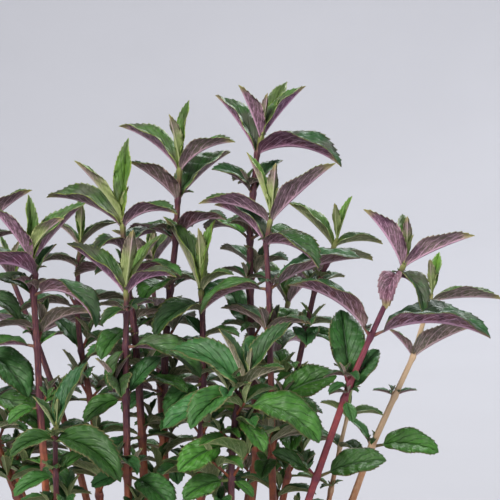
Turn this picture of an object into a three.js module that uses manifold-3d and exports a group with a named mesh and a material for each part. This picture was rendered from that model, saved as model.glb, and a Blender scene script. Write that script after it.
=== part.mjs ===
// Chocolate mint in a plain clay pot. Millimetres, +Z up.
// The origin is the middle of the pot's underside, and the plant's front looks towards -Y.
import * as THREE from "three";
import { mergeVertices } from "three/addons/utils/BufferGeometryUtils.js";
import Module from "manifold-3d";

const wasm = await Module();
wasm.setup();

// Pot: a tapered clay wall with a rim band and four drain holes.
const POT_HEIGHT = 150;
const POT_FOOT_RADIUS = 56;
const POT_NECK_RADIUS = 76;
const POT_RIM_RADIUS = 88;
const POT_BEVEL = 1.5;
const BAND_HEIGHT = 32;
const BAND_STEP = 6;
const BAND_FOOT = POT_HEIGHT - BAND_HEIGHT;
const POT_WALL = 7;
const POT_FLOOR = 8;
const POT_SIDES = 26;
const DRAIN_COUNT = 4;
const DRAIN_RADIUS = 5;
const DRAIN_CIRCLE = 32;
const DRAIN_SIDES = 8;

// Soil: fills the pot to a little under the rim, with a slightly uneven top.
const SOIL_LEVEL = 132;
const SOIL_SIDES = 24;
const SOIL_RING = 42;
const SOIL_UNEVEN = 2;
const SOIL_WAVES = [13, 11];
const CLEARANCE = 0.35;

// Stems are square, as on every mint, and taper from foot to tip.
const ROOT_DEPTH = 25;
const COLLAR = 9;
const STEM_HALF_FOOT = 1.9;
const STEM_HALF_TIP = 0.9;
const BURIED = SOIL_LEVEL - ROOT_DEPTH;
const BUD_STALK = 4;
const RING_BELOW_KNOT = 1.5;

// Leaves: the blade is thickest at its midrib and thins to its toothed edge.
const BLADE_THICK = 1.2;
const PETIOLE_HALF = 0.75;
const PETIOLE_HALF_END = 0.6;
const SPINE_STEPS = 48;
const TIP_TAPER = 0.95;
const TOOTH_CUT = 0.09;

// Width and petiole as shares of the blade's and the leaf's length, the angle that each half of
// the blade is folded up by, and how sharply the blade narrows to its base: first for the young
// pair at the tip, then pair by pair downwards.
const WIDTHS = [0.28, 0.42, 0.47, 0.52, 0.56, 0.58];
const PETIOLES = [0, 0, 0, 0.1, 0.16, 0.2];
const FOLDS = [22, 40, 38, 30, 22, 16];
const BASE_TAPERS = [0.95, 0.9, 0.75, 0.65, 0.6, 0.6];

// The front view is measured in the plane Y = 0, as seen from this point.
const EYE = new THREE.Vector3(35, -750, 393);

// A leaf that would meet a neighbour takes the first of these stances that clears it: degrees
// swung round the stem, degrees lifted, and the share of its length that it grows to.
const SPACE_BETWEEN = 0.5;
const ASIDE = [
  [0, 0, 1], [14, 0, 1], [-14, 0, 1], [0, 14, 1], [0, -14, 1], [24, 10, 1], [-24, 10, 1],
  [24, -10, 1], [-24, -10, 1], [38, 0, 1], [-38, 0, 1], [0, 28, 1], [0, -28, 1],
  [0, 0, 0.8], [30, 22, 0.8], [-30, 22, 0.8], [30, -22, 0.8], [-30, -22, 0.8],
  [55, 8, 0.8], [-55, 8, 0.8], [0, 36, 0.7], [0, -36, 0.7], [60, 30, 0.6], [-60, 30, 0.6],
];

// Leaves of one shoot may cross by no more than this volume, in cubic millimetres.
const MOST_OWN_OVERLAP = 4;

// A leaf: length from stem to tip, rise of its foot above level, arch as it turns down along its
// length, heading (0 right, 90 back, 180 left, 270 front) and how far its upper face is tipped to
// the front. Lengths in mm, the rest in degrees. Without a heading it keeps to its pair's quarter.
const leaf = (length, rise, arch, heading = null, tip = 0) =>
  ({ length, rise, arch, heading, tip });

// A knot of the stem, as seen from the front, with the pair of leaves that grows there, if any.
const knot = (across, height, ...pair) => ({ across, height, pair });

// A shoot: where its foot stands in the soil, how far its tip lies behind the plane Y = 0, the
// heading of its top pair, its knots from the soil up, and the young pair at its tip.
const shoot = (name, foot, depth, turn, knots, bud) => ({ name, foot, depth, turn, knots, bud });

const SHOOTS = [
  shoot("shoot_red_right", [50, -18], -30, 0, [
    knot(60, 186),
    knot(68.5, 211, leaf(36, 28, 24, 352, 32), leaf(26, 43, 24, 188, 30)),
    knot(82.5, 251.5, leaf(30, 61, 20, 22, 25), leaf(14, -28, 30, 290)),
    knot(85, 258.5, leaf(38, 76, 14, 105), leaf(13, 13, 50, 215, 20)),
    knot(95.5, 283, leaf(60, 30, 58, 350, -14), leaf(50, 60, 54, 190, -14)),
    knot(109, 313.5, leaf(28, 12, 96, 300), leaf(26, 14, 100, 248)),
    knot(111.5, 318.5, leaf(38, 32, 14, 342, -16), leaf(35, 66, 24, 198, -16)),
  ], [leaf(30, 45, 4, 90), leaf(21, 85, 0, 270)]),
  shoot("shoot_centre", [44, 0], -8, -15, [
    knot(47, 192),
    knot(46, 221, leaf(22, 8, 45), leaf(22, 8, 45)),
    knot(46, 248, leaf(37, 44, 36, 350, 46), leaf(20, 42, 60, 190, 20)),
    knot(45, 279.5, leaf(30, 44, 30, 60, 20), leaf(25, 22, 60, 240, 20)),
    knot(44.5, 307, leaf(49, 37, 34, 350, -8), leaf(38, 14, 66, 186, -10)),
    knot(43, 330, leaf(36, 55, 46, 150), leaf(40, 14, 56, 312, -6)),
    knot(45, 341, leaf(45, 46, 10, 338, -18), leaf(38, 38, 46, 192, -16)),
  ], [leaf(33, 70, 6, 160), leaf(26, 77, 0, 290)]),
  shoot("shoot_low_centre", [24, -42], -52, 20, [
    knot(25.5, 189.5),
    knot(25.5, 210, leaf(14, -10, 40, 330, 20), leaf(26, 5, 40, 205, 36)),
    knot(26, 228.5, leaf(18, 58, 20, 20, 30), leaf(30, -1, 40, 205, 44)),
    knot(27.5, 242, leaf(20, 33, 30, 110), leaf(25, -12, 40, 310)),
    knot(28.5, 247.5, leaf(45, 13, 66, 342, 26), leaf(37, 10, 50, 188, 24)),
    knot(29.5, 253, leaf(31, 38, 50, 60), leaf(36, 12, 60, 228, 24)),
    knot(31, 257, leaf(41, 50, 52, 160, 36), leaf(27, 41, 30, 325, -10)),
    knot(32.5, 260, leaf(36, 55, 10, 20, 20), leaf(28, 68, 10, 165)),
  ], [leaf(16, 70, 0), leaf(14, 74, 0)]),
  shoot("shoot_front_left", [-26, -16], -22, -20, [
    knot(-26.5, 187),
    knot(-27, 212, leaf(33, -1, 40, 320, 30), leaf(19, 8, 40, 200, 34)),
    knot(-27.5, 251.5, leaf(27, 62, 30, 22, 26), leaf(24, 1, 56, 196, 40)),
    knot(-27.5, 278, leaf(42, 8, 56, 346, 16), leaf(23, -51, 40, 205, 10)),
    knot(-27, 295, leaf(17, 42, 56, 35, 10), leaf(18, 16, 60, 228, 16)),
    knot(-27, 305, leaf(30, 50, 62, 338, -14), leaf(39, 47, 18, 165, -10)),
  ], [leaf(31, 54, 8, 35), leaf(31, 65, 0, 290)]),
  shoot("shoot_left", [-60, -14], -18, 30, [
    knot(-68, 192),
    knot(-69, 217, leaf(24, 10, 45), leaf(26, 8, 50)),
    knot(-71, 247, leaf(16, 52, 50, 20, 20), leaf(18, 6, 60, 200, 30)),
    knot(-72, 278, leaf(21, 31, 40, 60), leaf(29, 18, 40, 192, -10)),
    knot(-73.5, 304, leaf(44, 30, 100, 332, -10), leaf(25, 41, 50, 158, 20)),
    knot(-72.5, 314.5, leaf(21, 52, 20, 55), leaf(46, 38, 84, 218, -14)),
    knot(-74, 321, leaf(40, 53, 16, 28, -10), leaf(35, 61, 16, 205, -10)),
  ], [leaf(29, 90, 4, 130), leaf(35, 48, 30, 312)]),
  shoot("shoot_second_left", [-15, 2], 4, -30, [
    knot(-18.5, 202),
    knot(-19.5, 232, leaf(26, 8, 45), leaf(28, 8, 50)),
    knot(-21, 260, leaf(30, 20, 50), leaf(28, 10, 50)),
    knot(-23, 286, leaf(32, 24, 60), leaf(32, 10, 60)),
    knot(-26.5, 312, leaf(34, 36, 60), leaf(34, 30, 60)),
    knot(-28, 326, leaf(27, 43, 50, 55), leaf(25, 48, 90, 235, -10)),
    knot(-28.5, 338.5, leaf(34, 46, 66, 334, -16), leaf(47, 41, 46, 158, -6)),
  ], [leaf(41, 82, 0, 60), leaf(38, 58, 14, 195, -10)]),
  shoot("shoot_middle", [10, 6], 8, -30, [
    knot(10, 202),
    knot(10.5, 232, leaf(24, 8, 40), leaf(26, 8, 45)),
    knot(11, 259.5, leaf(26, 12, 50), leaf(29, -6, 50, 225, 30)),
    knot(11.5, 283, leaf(22, 30, 50), leaf(15, 52, 20, 150, 30)),
    knot(11, 297, leaf(22, 39, 40, 50, 10), leaf(35, 13, 66, 222, 20)),
    knot(10.5, 305.5, leaf(23, 61, 66, 330, -10), leaf(44, 54, 16, 152)),
  ], [leaf(34, 77, 6, 40), leaf(29, 88, 4, 240)]),
  shoot("shoot_third", [-8, 26], 26, -35, [
    knot(-8.5, 227, leaf(24, 8, 40), leaf(24, 8, 40)),
    knot(-8.5, 254, leaf(28, 12, 50), leaf(28, 12, 50)),
    knot(-7.5, 279.5, leaf(32, 20, 55), leaf(32, 16, 55)),
    knot(-5, 307, leaf(34, 30, 60), leaf(34, 26, 60)),
    knot(-2, 332, leaf(36, 36, 60), leaf(34, 30, 60)),
    knot(-1, 352, leaf(48, 40, 20, 50), leaf(35, 45, 20, 215, -10)),
    knot(0, 366.5, leaf(37, 50, 50, 332, -16), leaf(42, 54, 40, 160, -8)),
  ], [leaf(33, 81, 6, 50), leaf(27, 71, 6, 240)]),
  shoot("shoot_tall", [30, 30], 34, 40, [
    knot(38.5, 224.5, leaf(24, 8, 40), leaf(24, 8, 40)),
    knot(37.5, 253, leaf(30, 12, 50), leaf(30, 12, 50)),
    knot(36, 281, leaf(36, 60, 10, 135), leaf(21, 30, 60, 320)),
    knot(35, 307, leaf(38, 30, 60), leaf(38, 26, 60)),
    knot(35, 332, leaf(38, 34, 60), leaf(36, 30, 60)),
    knot(36.5, 355, leaf(27, 55, 30, 40), leaf(27, 55, 50, 200, 34)),
    knot(38.5, 375, leaf(42, 57, 20, 140), leaf(51, 24, 62, 332, -14)),
    knot(40.5, 382.5, leaf(37, 55, 14, 20, -10), leaf(31, 68, 10, 215, -10)),
  ], [leaf(37, 48, 6, 60), leaf(20, 80, 0)]),
  shoot("shoot_behind_right", [42, 24], 18, 0, [
    knot(54, 212, leaf(22, 8, 40), leaf(22, 8, 40)),
    knot(55, 237, leaf(26, 8, 50), leaf(26, 8, 50)),
    knot(56.5, 256, leaf(23, -31, 40, 310, 20), leaf(26, 12, 50)),
    knot(62.5, 284.5, leaf(19, 14, 60, 355, 34), leaf(28, 24, 55)),
    knot(67.5, 307, leaf(22, 39, 50, 40), leaf(18, 42, 70, 200, 10)),
    knot(73.5, 320, leaf(29, 21, 40, 30, 10), leaf(19, 32, 70, 220)),
    knot(77, 329, leaf(27, 21, 40, 15, -6), leaf(34, 49, 18, 155)),
  ], [leaf(24, 66, 4, 40), leaf(19, 77, 0, 250)]),
  shoot("shoot_pale_right", [59, 15], 14, 0, [
    knot(86, 197),
    knot(96.5, 227, leaf(35, 16, 38, 352, 36), leaf(19, 62, 20, 190, 30)),
    knot(108, 253, leaf(12, 30, 30), leaf(12, 30, 30)),
    knot(117, 273, leaf(37, 38, 18, 332, -30), leaf(20, 58, 20, 195, 10)),
    knot(125, 301, leaf(37, 14, 22, 352, -20), leaf(17, 64, 30, 190)),
  ], [leaf(26, 54, 6, 70), leaf(19, 78, 4, 250)]),
  shoot("shoot_small_left", [-53, -33], -50, 20, [
    knot(-63, 192),
    knot(-63.5, 212, leaf(19, 49, 30, 15, 30), leaf(22, -2, 40, 200, 34)),
    knot(-63.5, 230, leaf(42, 10, 66, 332, 34), leaf(25, 19, 60, 215, 36)),
    knot(-63, 236, leaf(35, 65, 4, 25, 16), leaf(19, 73, 10, 170)),
  ], [leaf(12, 84, 0), leaf(12, 74, 0)]),
  shoot("shoot_thin_right", [44, 41], 44, 30, [
    knot(71, 179.5),
    knot(76, 204.5),
    knot(80.5, 227, leaf(24, 20, 50), leaf(22, 20, 50)),
    knot(84, 242, leaf(21, 26, 50, 10, 10), leaf(20, 50, 40)),
  ], [leaf(16, 80, 0), leaf(14, 78, 0)]),
  shoot("shoot_behind_left", [-38, 22], 30, 15, [
    knot(-41.5, 202),
    knot(-42.5, 227, leaf(26, 8, 45), leaf(26, 8, 45)),
    knot(-45.5, 251, leaf(28, 12, 50), leaf(28, 12, 50)),
    knot(-50, 276, leaf(21, 45, 50, 25), leaf(24, 56, 20, 160, 20)),
    knot(-52, 298, leaf(32, 30, 60), leaf(32, 26, 60)),
    knot(-51, 318, leaf(21, 58, 50, 40), leaf(22, 43, 70, 200)),
    knot(-50, 328, leaf(24, 59, 50, 10), leaf(20, 62, 40, 170)),
  ], [leaf(22, 82, 0), leaf(20, 76, 0)]),
  shoot("shoot_far_left", [-60, 4], -6, -15, [
    knot(-83, 202),
    knot(-93, 228, leaf(28, 8, 45), leaf(30, 8, 50)),
    knot(-100, 254, leaf(41, -2, 50, 328, 24), leaf(34, 10, 50)),
    knot(-102.5, 277, leaf(40, -9, 50, 330, 24), leaf(34, 20, 60)),
    knot(-102, 302, leaf(27, 14, 70, 340, 24), leaf(26, 20, 80, 200)),
    knot(-99, 327, leaf(23, 38, 40, 50), leaf(27, 45, 80, 215)),
    knot(-97.5, 338, leaf(33, 46, 20, 340, -14), leaf(33, 56, 60, 165)),
  ], [leaf(27, 80, 4), leaf(25, 70, 6)]),
];

// Shoots that the front view hides or cuts off follow the habit of the others. Each is given by
// its foot, its tip as [across, depth, height], the heading of its top pair and its pair count.
const HIDDEN_SHOOTS = [
  ["shoot_outer_left", [-58, 20], [-132, 16, 306], 10, 5],
  ["shoot_back_left", [-34, 46], [-84, 66, 312], 60, 5],
  ["shoot_back", [-6, 57], [-14, 88, 318], 20, 5],
  ["shoot_back_right", [25, 54], [54, 84, 300], -25, 5],
  ["shoot_low_back", [8, 40], [30, 112, 236], 40, 3],
  ["shoot_low_front", [-2, -57], [-12, -94, 168], 15, 3],
];
const HIDDEN_FIRST_KNOT = 0.24;
const HIDDEN_OUTWARD = 0.55;
const HIDDEN_CROWDING = 0.85;
const HIDDEN_BUD = [leaf(22, 72, 0), leaf(20, 68, 0)];

// Their leaves' length, rise and arch by pair from the tip, and how far each may differ.
const HIDDEN_SIZES = [34, 44, 38, 32, 27];
const HIDDEN_RISES = [54, 42, 30, 18, 10];
const HIDDEN_ARCHES = [30, 66, 62, 52, 44];
const HIDDEN_VARIETY = { size: 0.1, rise: 8, arch: 14 };

// A row of repeatable draws between -1 and 1.
function draws(seed) {
  let state = seed >>> 0;
  return () => {
    state = (Math.imul(state, 1664525) + 1013904223) >>> 0;
    return (state / 2 ** 32) * 2 - 1;
  };
}

const radians = THREE.MathUtils.degToRad;

// Slides a point of the front view back along its line of sight.
function behindPicture(across, height, depth) {
  const share = (depth - EYE.y) / -EYE.y;
  return new THREE.Vector3(
    EYE.x + (across - EYE.x) * share,
    depth,
    EYE.z + (height - EYE.z) * share,
  );
}

// A closed mesh as a BufferGeometry, from a list of points and of point numbers by threes.
function closedGeometry(points, triangles) {
  const geometry = new THREE.BufferGeometry().setFromPoints(points);
  geometry.setIndex(triangles);
  return geometry;
}

// A geometry as a solid that can be joined and cut.
function solidOf(geometry) {
  const bare = geometry.clone();
  bare.deleteAttribute("normal");
  bare.deleteAttribute("uv");
  const merged = mergeVertices(bare, 1e-4);
  return new wasm.Manifold(new wasm.Mesh({
    numProp: 3,
    vertProperties: merged.attributes.position.array,
    triVerts: new Uint32Array(merged.index.array),
  }));
}

// A solid as a geometry that three.js can draw.
function geometryOf(solid) {
  const mesh = solid.getMesh();
  const geometry = new THREE.BufferGeometry();
  geometry.setAttribute("position", new THREE.BufferAttribute(mesh.vertProperties, mesh.numProp));
  geometry.setIndex(new THREE.BufferAttribute(mesh.triVerts, 1));
  geometry.computeVertexNormals();
  return geometry;
}

// Skins a row of rings, each with as many points as the last, and closes both ends.
function loft(rings) {
  const sides = rings[0].length;
  const triangles = [];
  for (let r = 0; r + 1 < rings.length; r++) {
    for (let i = 0; i < sides; i++) {
      const j = (i + 1) % sides;
      const [a, b, c, d] = [r * sides + i, r * sides + j, (r + 1) * sides + j, (r + 1) * sides + i];
      triangles.push(a, b, c, a, c, d);
    }
  }
  const last = (rings.length - 1) * sides;
  for (let i = 1; i + 1 < sides; i++) {
    triangles.push(0, i + 1, i);
    triangles.push(last, last + i, last + i + 1);
  }
  return closedGeometry(rings.flat(), triangles);
}

// A square ring across a stem. Its flats face the leaf pairs.
function squareRing(centre, along, azimuth, half) {
  const a = new THREE.Vector3(Math.cos(azimuth), Math.sin(azimuth), 0);
  a.addScaledVector(along, -a.dot(along)).normalize();
  const b = new THREE.Vector3().crossVectors(along, a);
  return [[-1, -1], [1, -1], [1, 1], [-1, 1]].map(([p, q]) =>
    centre.clone().addScaledVector(a, p * half).addScaledVector(b, q * half));
}

// Where a shoot's collar, knots and bud lie in space, from just above the soil to the tip.
function placesOf(plan) {
  const [x, y] = plan.foot;
  const collar = new THREE.Vector3(x, y, SOIL_LEVEL + COLLAR);
  const top = plan.knots[plan.knots.length - 1].height;
  const places = plan.knots.map(({ across, height }) => {
    const share = (height - SOIL_LEVEL) / (top - SOIL_LEVEL);
    return behindPicture(across, height, y + (plan.depth - y) * share);
  });
  const [before, last] = places.slice(-2);
  const bud = last.clone().sub(before).setLength(BUD_STALK).add(last);
  return [collar, ...places, bud];
}

// The stem: straight and upright in the soil, then straight from knot to knot.
function stemSolid(plan) {
  const places = placesOf(plan);
  const up = new THREE.Vector3(0, 0, 1);
  const azimuth = radians(plan.turn);
  const foot = new THREE.Vector3(plan.foot[0], plan.foot[1], BURIED);
  const rings = [squareRing(foot, up, azimuth, STEM_HALF_FOOT)];
  const last = places.length - 1;
  places.forEach((place, i) => {
    const next = places[Math.min(i + 1, last)];
    const along = i === 0 ? up : next.clone().sub(places[i - 1]).normalize();
    const half = THREE.MathUtils.lerp(STEM_HALF_FOOT, STEM_HALF_TIP, i / last);
    const below = i < last ? RING_BELOW_KNOT : 0;
    rings.push(squareRing(place.clone().addScaledVector(along, -below), along, azimuth, half));
  });
  return solidOf(loft(rings));
}

// Half the blade's width at a share of its length, 1 at the widest place.
function bladeProfile(u, baseTaper) {
  const widest = baseTaper / (baseTaper + TIP_TAPER);
  return (u / widest) ** baseTaper * ((1 - u) / (1 - widest)) ** TIP_TAPER;
}

// What changes with a leaf's place below the tip.
function habitOf(pairs) {
  const i = Math.min(pairs, WIDTHS.length - 1);
  return {
    width: WIDTHS[i], petiole: PETIOLES[i], fold: radians(FOLDS[i]), baseTaper: BASE_TAPERS[i],
  };
}

// The leaf's midrib as a function of the share of its length: place, direction and the two
// directions across it, one in the blade's width and one out of its upper face.
function midrib(root, azimuth, shape) {
  const out = new THREE.Vector3(Math.cos(azimuth), Math.sin(azimuth), 0);
  const level = new THREE.Vector3(-Math.sin(azimuth), Math.cos(azimuth), 0);
  const roll = radians(shape.tip) * out.x;
  const step = shape.length / SPINE_STEPS;
  const angle = (share) => radians(shape.rise - shape.arch * share);
  return (share) => {
    const place = root.clone();
    for (let i = 0; i < SPINE_STEPS * share - 1e-9; i++) {
      const part = Math.min(1, SPINE_STEPS * share - i);
      const a = angle((i + part / 2) / SPINE_STEPS);
      place.addScaledVector(out, Math.cos(a) * step * part);
      place.z += Math.sin(a) * step * part;
    }
    const a = angle(share);
    const along = out.clone().multiplyScalar(Math.cos(a)).setZ(Math.sin(a));
    const face = new THREE.Vector3().crossVectors(along, level);
    return {
      place,
      side: level.clone().multiplyScalar(Math.cos(roll)).addScaledVector(face, Math.sin(roll)),
      face: face.clone().multiplyScalar(Math.cos(roll)).addScaledVector(level, -Math.sin(roll)),
    };
  };
}

// Shares of the blade's length where the midrib and the edge have points, the edge points with
// their share of the profile's width. A point just past a wide one is a notch below a tooth.
const NOTCH = 1 - TOOTH_CUT;
function bladePoints(length) {
  if (length < 22) return { ribs: [0.5], edges: [[0.22, 1], [0.62, 1]] };
  if (length < 34) {
    return { ribs: [0.3, 0.62], edges: [[0.16, 1], [0.4, 1.03], [0.45, NOTCH], [0.72, 1.05]] };
  }
  if (length < 46) {
    return {
      ribs: [0.28, 0.6],
      edges: [[0.13, 1], [0.35, 1.04], [0.39, NOTCH], [0.63, 1.08], [0.67, NOTCH]],
    };
  }
  return {
    ribs: [0.22, 0.45, 0.7],
    edges: [
      [0.12, 1], [0.28, 1.04], [0.31, NOTCH], [0.5, 1.06],
      [0.53, NOTCH], [0.74, 1.12], [0.77, NOTCH],
    ],
  };
}

// Fills the strip between a row of midrib points and a row of edge points that start and end
// together. Rows are lists of [share, point number].
function strip(ribs, edges, flip) {
  const triangles = [];
  let [i, j] = [0, 0];
  while (i + 1 < ribs.length || j + 1 < edges.length) {
    const ribFirst = j + 1 >= edges.length
      || (i + 1 < ribs.length && ribs[i + 1][0] <= edges[j + 1][0]);
    const next = ribFirst ? ribs[++i][1] : edges[++j][1];
    const three = ribFirst
      ? [ribs[i - 1][1], edges[j][1], next]
      : [ribs[i][1], edges[j - 1][1], next];
    if (new Set(three).size === 3) triangles.push(...(flip ? three.reverse() : three));
  }
  return triangles;
}

// One leaf as a closed solid: a petiole of four sides that opens into a folded, toothed blade.
function leafSolid(root, azimuth, shape, pairs) {
  const { width, fold, petiole, baseTaper } = habitOf(pairs);
  const along = midrib(root, azimuth, shape);
  const { ribs, edges } = bladePoints(shape.length);
  const points = [];
  const add = (place) => points.push(place) - 1;
  const offset = ({ place, side, face }, s, f) =>
    place.clone().addScaledVector(side, s).addScaledVector(face, f);
  // Each row runs from the root in the stem to the tip: upper rib, lower rib and both edges.
  const upper = [], lower = [], left = [], right = [];
  const ringAt = (share, u, half) => {
    const at = along(share);
    upper.push([u, add(offset(at, 0, half))]);
    lower.push([u, add(offset(at, 0, -half))]);
    left.push([u, add(offset(at, half, 0))]);
    right.push([u, add(offset(at, -half, 0))]);
  };
  ringAt(0, petiole ? -1 : 0, PETIOLE_HALF);
  if (petiole) ringAt(petiole, 0, PETIOLE_HALF_END);
  const shareOf = (u) => petiole + (1 - petiole) * u;
  for (const u of ribs) {
    const at = along(shareOf(u));
    upper.push([u, add(offset(at, 0, BLADE_THICK / 2))]);
    lower.push([u, add(offset(at, 0, -BLADE_THICK / 2))]);
  }
  const widest = (width * shape.length * (1 - petiole)) / 2;
  for (const [u, cut] of edges) {
    const at = along(shareOf(u));
    const reach = widest * bladeProfile(u, baseTaper) * cut;
    const [s, f] = [reach * Math.cos(fold), reach * Math.sin(fold)];
    left.push([u, add(offset(at, s, f))]);
    right.push([u, add(offset(at, -s, f))]);
  }
  const tip = add(along(1).place);
  for (const row of [upper, lower, left, right]) row.push([1, tip]);
  const [a, b, c, d] = [upper, left, lower, right].map((row) => row[0][1]);
  const triangles = [
    ...strip(upper, left, true),
    ...strip(upper, right, false),
    ...strip(lower, left, false),
    ...strip(lower, right, true),
    ...[a, b, c, a, c, d],
  ];
  return solidOf(closedGeometry(points, triangles));
}

// A hidden shoot's plan: its knots rise from the foot and lean out to its tip.
function hiddenPlan([name, foot, [across, depth, height], turn, pairs], order) {
  const draw = draws(1000 + order);
  const knots = [];
  for (let i = 0; i < pairs; i++) {
    const upwards = (i / (pairs - 1)) ** HIDDEN_CROWDING;
    const share = HIDDEN_FIRST_KNOT + (1 - HIDDEN_FIRST_KNOT) * upwards;
    const out = HIDDEN_OUTWARD * share + (1 - HIDDEN_OUTWARD) * share * share;
    const below = pairs - 1 - i;
    const one = () => leaf(
      HIDDEN_SIZES[below] * (1 + HIDDEN_VARIETY.size * draw()),
      HIDDEN_RISES[below] + HIDDEN_VARIETY.rise * draw(),
      HIDDEN_ARCHES[below] + HIDDEN_VARIETY.arch * draw(),
    );
    knots.push(knot(
      foot[0] + (across - foot[0]) * out,
      SOIL_LEVEL + (height - SOIL_LEVEL) * share,
      one(),
      one(),
    ));
  }
  return shoot(name, foot, depth, turn, knots, HIDDEN_BUD);
}

// Every leaf of a shoot, from the soil up, with its root, azimuth and age.
function leavesOf(plan) {
  const places = placesOf(plan);
  const top = plan.knots.length - 1;
  const list = [];
  plan.knots.forEach(({ pair }, i) => {
    const quarter = plan.turn + 90 * ((top - i) % 2);
    const root = places[i + 1];
    pair.forEach((shape, k) =>
      list.push({ shape, root, pairs: top - i + 1, heading: shape.heading ?? quarter + 180 * k }));
  });
  const [root, quarter] = [places[top + 2], plan.turn + 90];
  plan.bud.forEach((shape, k) =>
    list.push({ shape, root, pairs: 0, heading: shape.heading ?? quarter + 180 * k }));
  return list;
}

// The leaf in the first stance that keeps clear of everything that already stands.
function placedLeaf({ shape, pairs, root, heading }, others, own) {
  for (const [swing, lift, share] of ASIDE) {
    const stance = { ...shape, rise: shape.rise + lift, length: shape.length * share };
    const solid = leafSolid(root, radians(heading + swing), stance, pairs);
    const meets = others.some((other) =>
      near(solid, other) && solid.minGap(other.solid, 1) < SPACE_BETWEEN);
    const tangled = pairs > 0 && own.some((other) =>
      solid.intersect(other).volume() > MOST_OWN_OVERLAP);
    if (!meets && !tangled) return solid;
  }
  return null;
}

// Whether two solids' boxes come within the space that must stay between them.
function near(solid, other) {
  const box = solid.boundingBox();
  return [0, 1, 2].every((k) =>
    box.min[k] - SPACE_BETWEEN < other.box.max[k] && box.max[k] + SPACE_BETWEEN > other.box.min[k]);
}
const obstacle = (solid, owner) => ({ solid, owner, box: solid.boundingBox() });

// The joined shoot without the small pockets that young leaves can close in between them.
function outerBody(joined) {
  return joined.decompose().reduce((a, b) => (a.volume() > b.volume() ? a : b));
}

// The pot's inside, as the radius and height of its mouth, its neck and its floor's edge.
const INSIDE = [
  [POT_RIM_RADIUS - POT_WALL, POT_HEIGHT],
  [POT_NECK_RADIUS - POT_WALL, BAND_FOOT - BAND_STEP],
  [POT_FOOT_RADIUS - POT_WALL, POT_FLOOR],
];

// A turned body about the Z axis from a profile of [radius, height] points.
function turned(profile, sides) {
  const points = profile.map(([radius, height]) => new THREE.Vector2(radius, height));
  return new THREE.LatheGeometry(points, sides).rotateX(Math.PI / 2);
}

// Pot: one lathe profile, up the outside, over the rim and down the inside, less the drain holes.
function potSolid() {
  let pot = solidOf(turned([
    [0, 0], [POT_FOOT_RADIUS - POT_BEVEL, 0], [POT_FOOT_RADIUS, POT_BEVEL],
    [POT_NECK_RADIUS, BAND_FOOT], [POT_NECK_RADIUS + BAND_STEP, BAND_FOOT + POT_BEVEL],
    [POT_RIM_RADIUS, POT_HEIGHT - POT_BEVEL], [POT_RIM_RADIUS - POT_BEVEL, POT_HEIGHT],
    ...INSIDE, [0, POT_FLOOR],
  ], POT_SIDES));
  for (let i = 0; i < DRAIN_COUNT; i++) {
    const turn = (2 * Math.PI * (i + 0.5)) / DRAIN_COUNT;
    const drain = new THREE.CylinderGeometry(DRAIN_RADIUS, DRAIN_RADIUS, 3 * POT_FLOOR, DRAIN_SIDES)
      .rotateX(Math.PI / 2)
      .translate(DRAIN_CIRCLE * Math.cos(turn), DRAIN_CIRCLE * Math.sin(turn), 0);
    pot = pot.subtract(solidOf(drain));
  }
  return pot;
}

// Soil: its side follows the pot's inside, and each stem stands in a plain square hole.
function soilSolid(plans) {
  const [[mouth, mouthHeight], [neck, neckHeight], [bottom]] = INSIDE;
  const inset = 3 * CLEARANCE;
  const floor = POT_FLOOR + CLEARANCE;
  const edge = THREE.MathUtils.mapLinear(SOIL_LEVEL, neckHeight, mouthHeight, neck, mouth);
  const body = turned([
    [0, floor], [bottom - inset, floor], [neck - inset, neckHeight], [edge - inset, SOIL_LEVEL],
    [SOIL_RING, SOIL_LEVEL], [0, SOIL_LEVEL],
  ], SOIL_SIDES);
  const position = body.attributes.position;
  for (let i = 0; i < position.count; i++) {
    if (position.getZ(i) < SOIL_LEVEL - CLEARANCE) continue;
    const [x, y] = [position.getX(i), position.getY(i)];
    const wave = Math.sin(x / SOIL_WAVES[0]) * Math.cos(y / SOIL_WAVES[1]);
    position.setZ(i, SOIL_LEVEL + SOIL_UNEVEN * wave);
  }
  const up = new THREE.Vector3(0, 0, 1);
  const holes = plans.map(({ foot: [x, y], turn }) => {
    const ring = (z) =>
      squareRing(new THREE.Vector3(x, y, z), up, radians(turn), STEM_HALF_FOOT + CLEARANCE);
    return solidOf(loft([ring(BURIED - CLEARANCE), ring(SOIL_LEVEL + COLLAR)]));
  });
  return solidOf(body).subtract(wasm.Manifold.union(holes));
}

// The three materials, one to each kind of piece.
const clay = () => new THREE.MeshStandardMaterial({ color: 0xa9603f, roughness: 0.85 });
const earth = () => new THREE.MeshStandardMaterial({ color: 0x2b2019, roughness: 1 });
const foliage = () => new THREE.MeshStandardMaterial({ color: 0x3c5a35, roughness: 0.6 });

const plant = new THREE.Group();
function addMesh(name, solid, material) {
  const mesh = new THREE.Mesh(geometryOf(solid), material);
  mesh.name = name;
  plant.add(mesh);
}

const plans = [...SHOOTS, ...HIDDEN_SHOOTS.map(hiddenPlan)];
const pot = potSolid();
const soil = soilSolid(plans);
addMesh("pot", pot, clay());
addMesh("soil", soil, earth());

// All stems stand before the first leaf is placed, so that leaves keep clear of them too.
const stems = plans.map(stemSolid);
const standing = [
  obstacle(pot, "pot"),
  obstacle(soil, "soil"),
  ...plans.map((plan, i) => obstacle(stems[i], plan.name)),
];
plans.forEach((plan, i) => {
  const others = standing.filter(({ owner }) => owner !== plan.name);
  const own = [];
  for (const item of leavesOf(plan)) {
    const solid = placedLeaf(item, others, own);
    if (solid) own.push(solid);
  }
  standing.push(...own.map((solid) => obstacle(solid, plan.name)));
  addMesh(plan.name, outerBody(wasm.Manifold.union([stems[i], ...own])), foliage());
});

export default plant;
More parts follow.
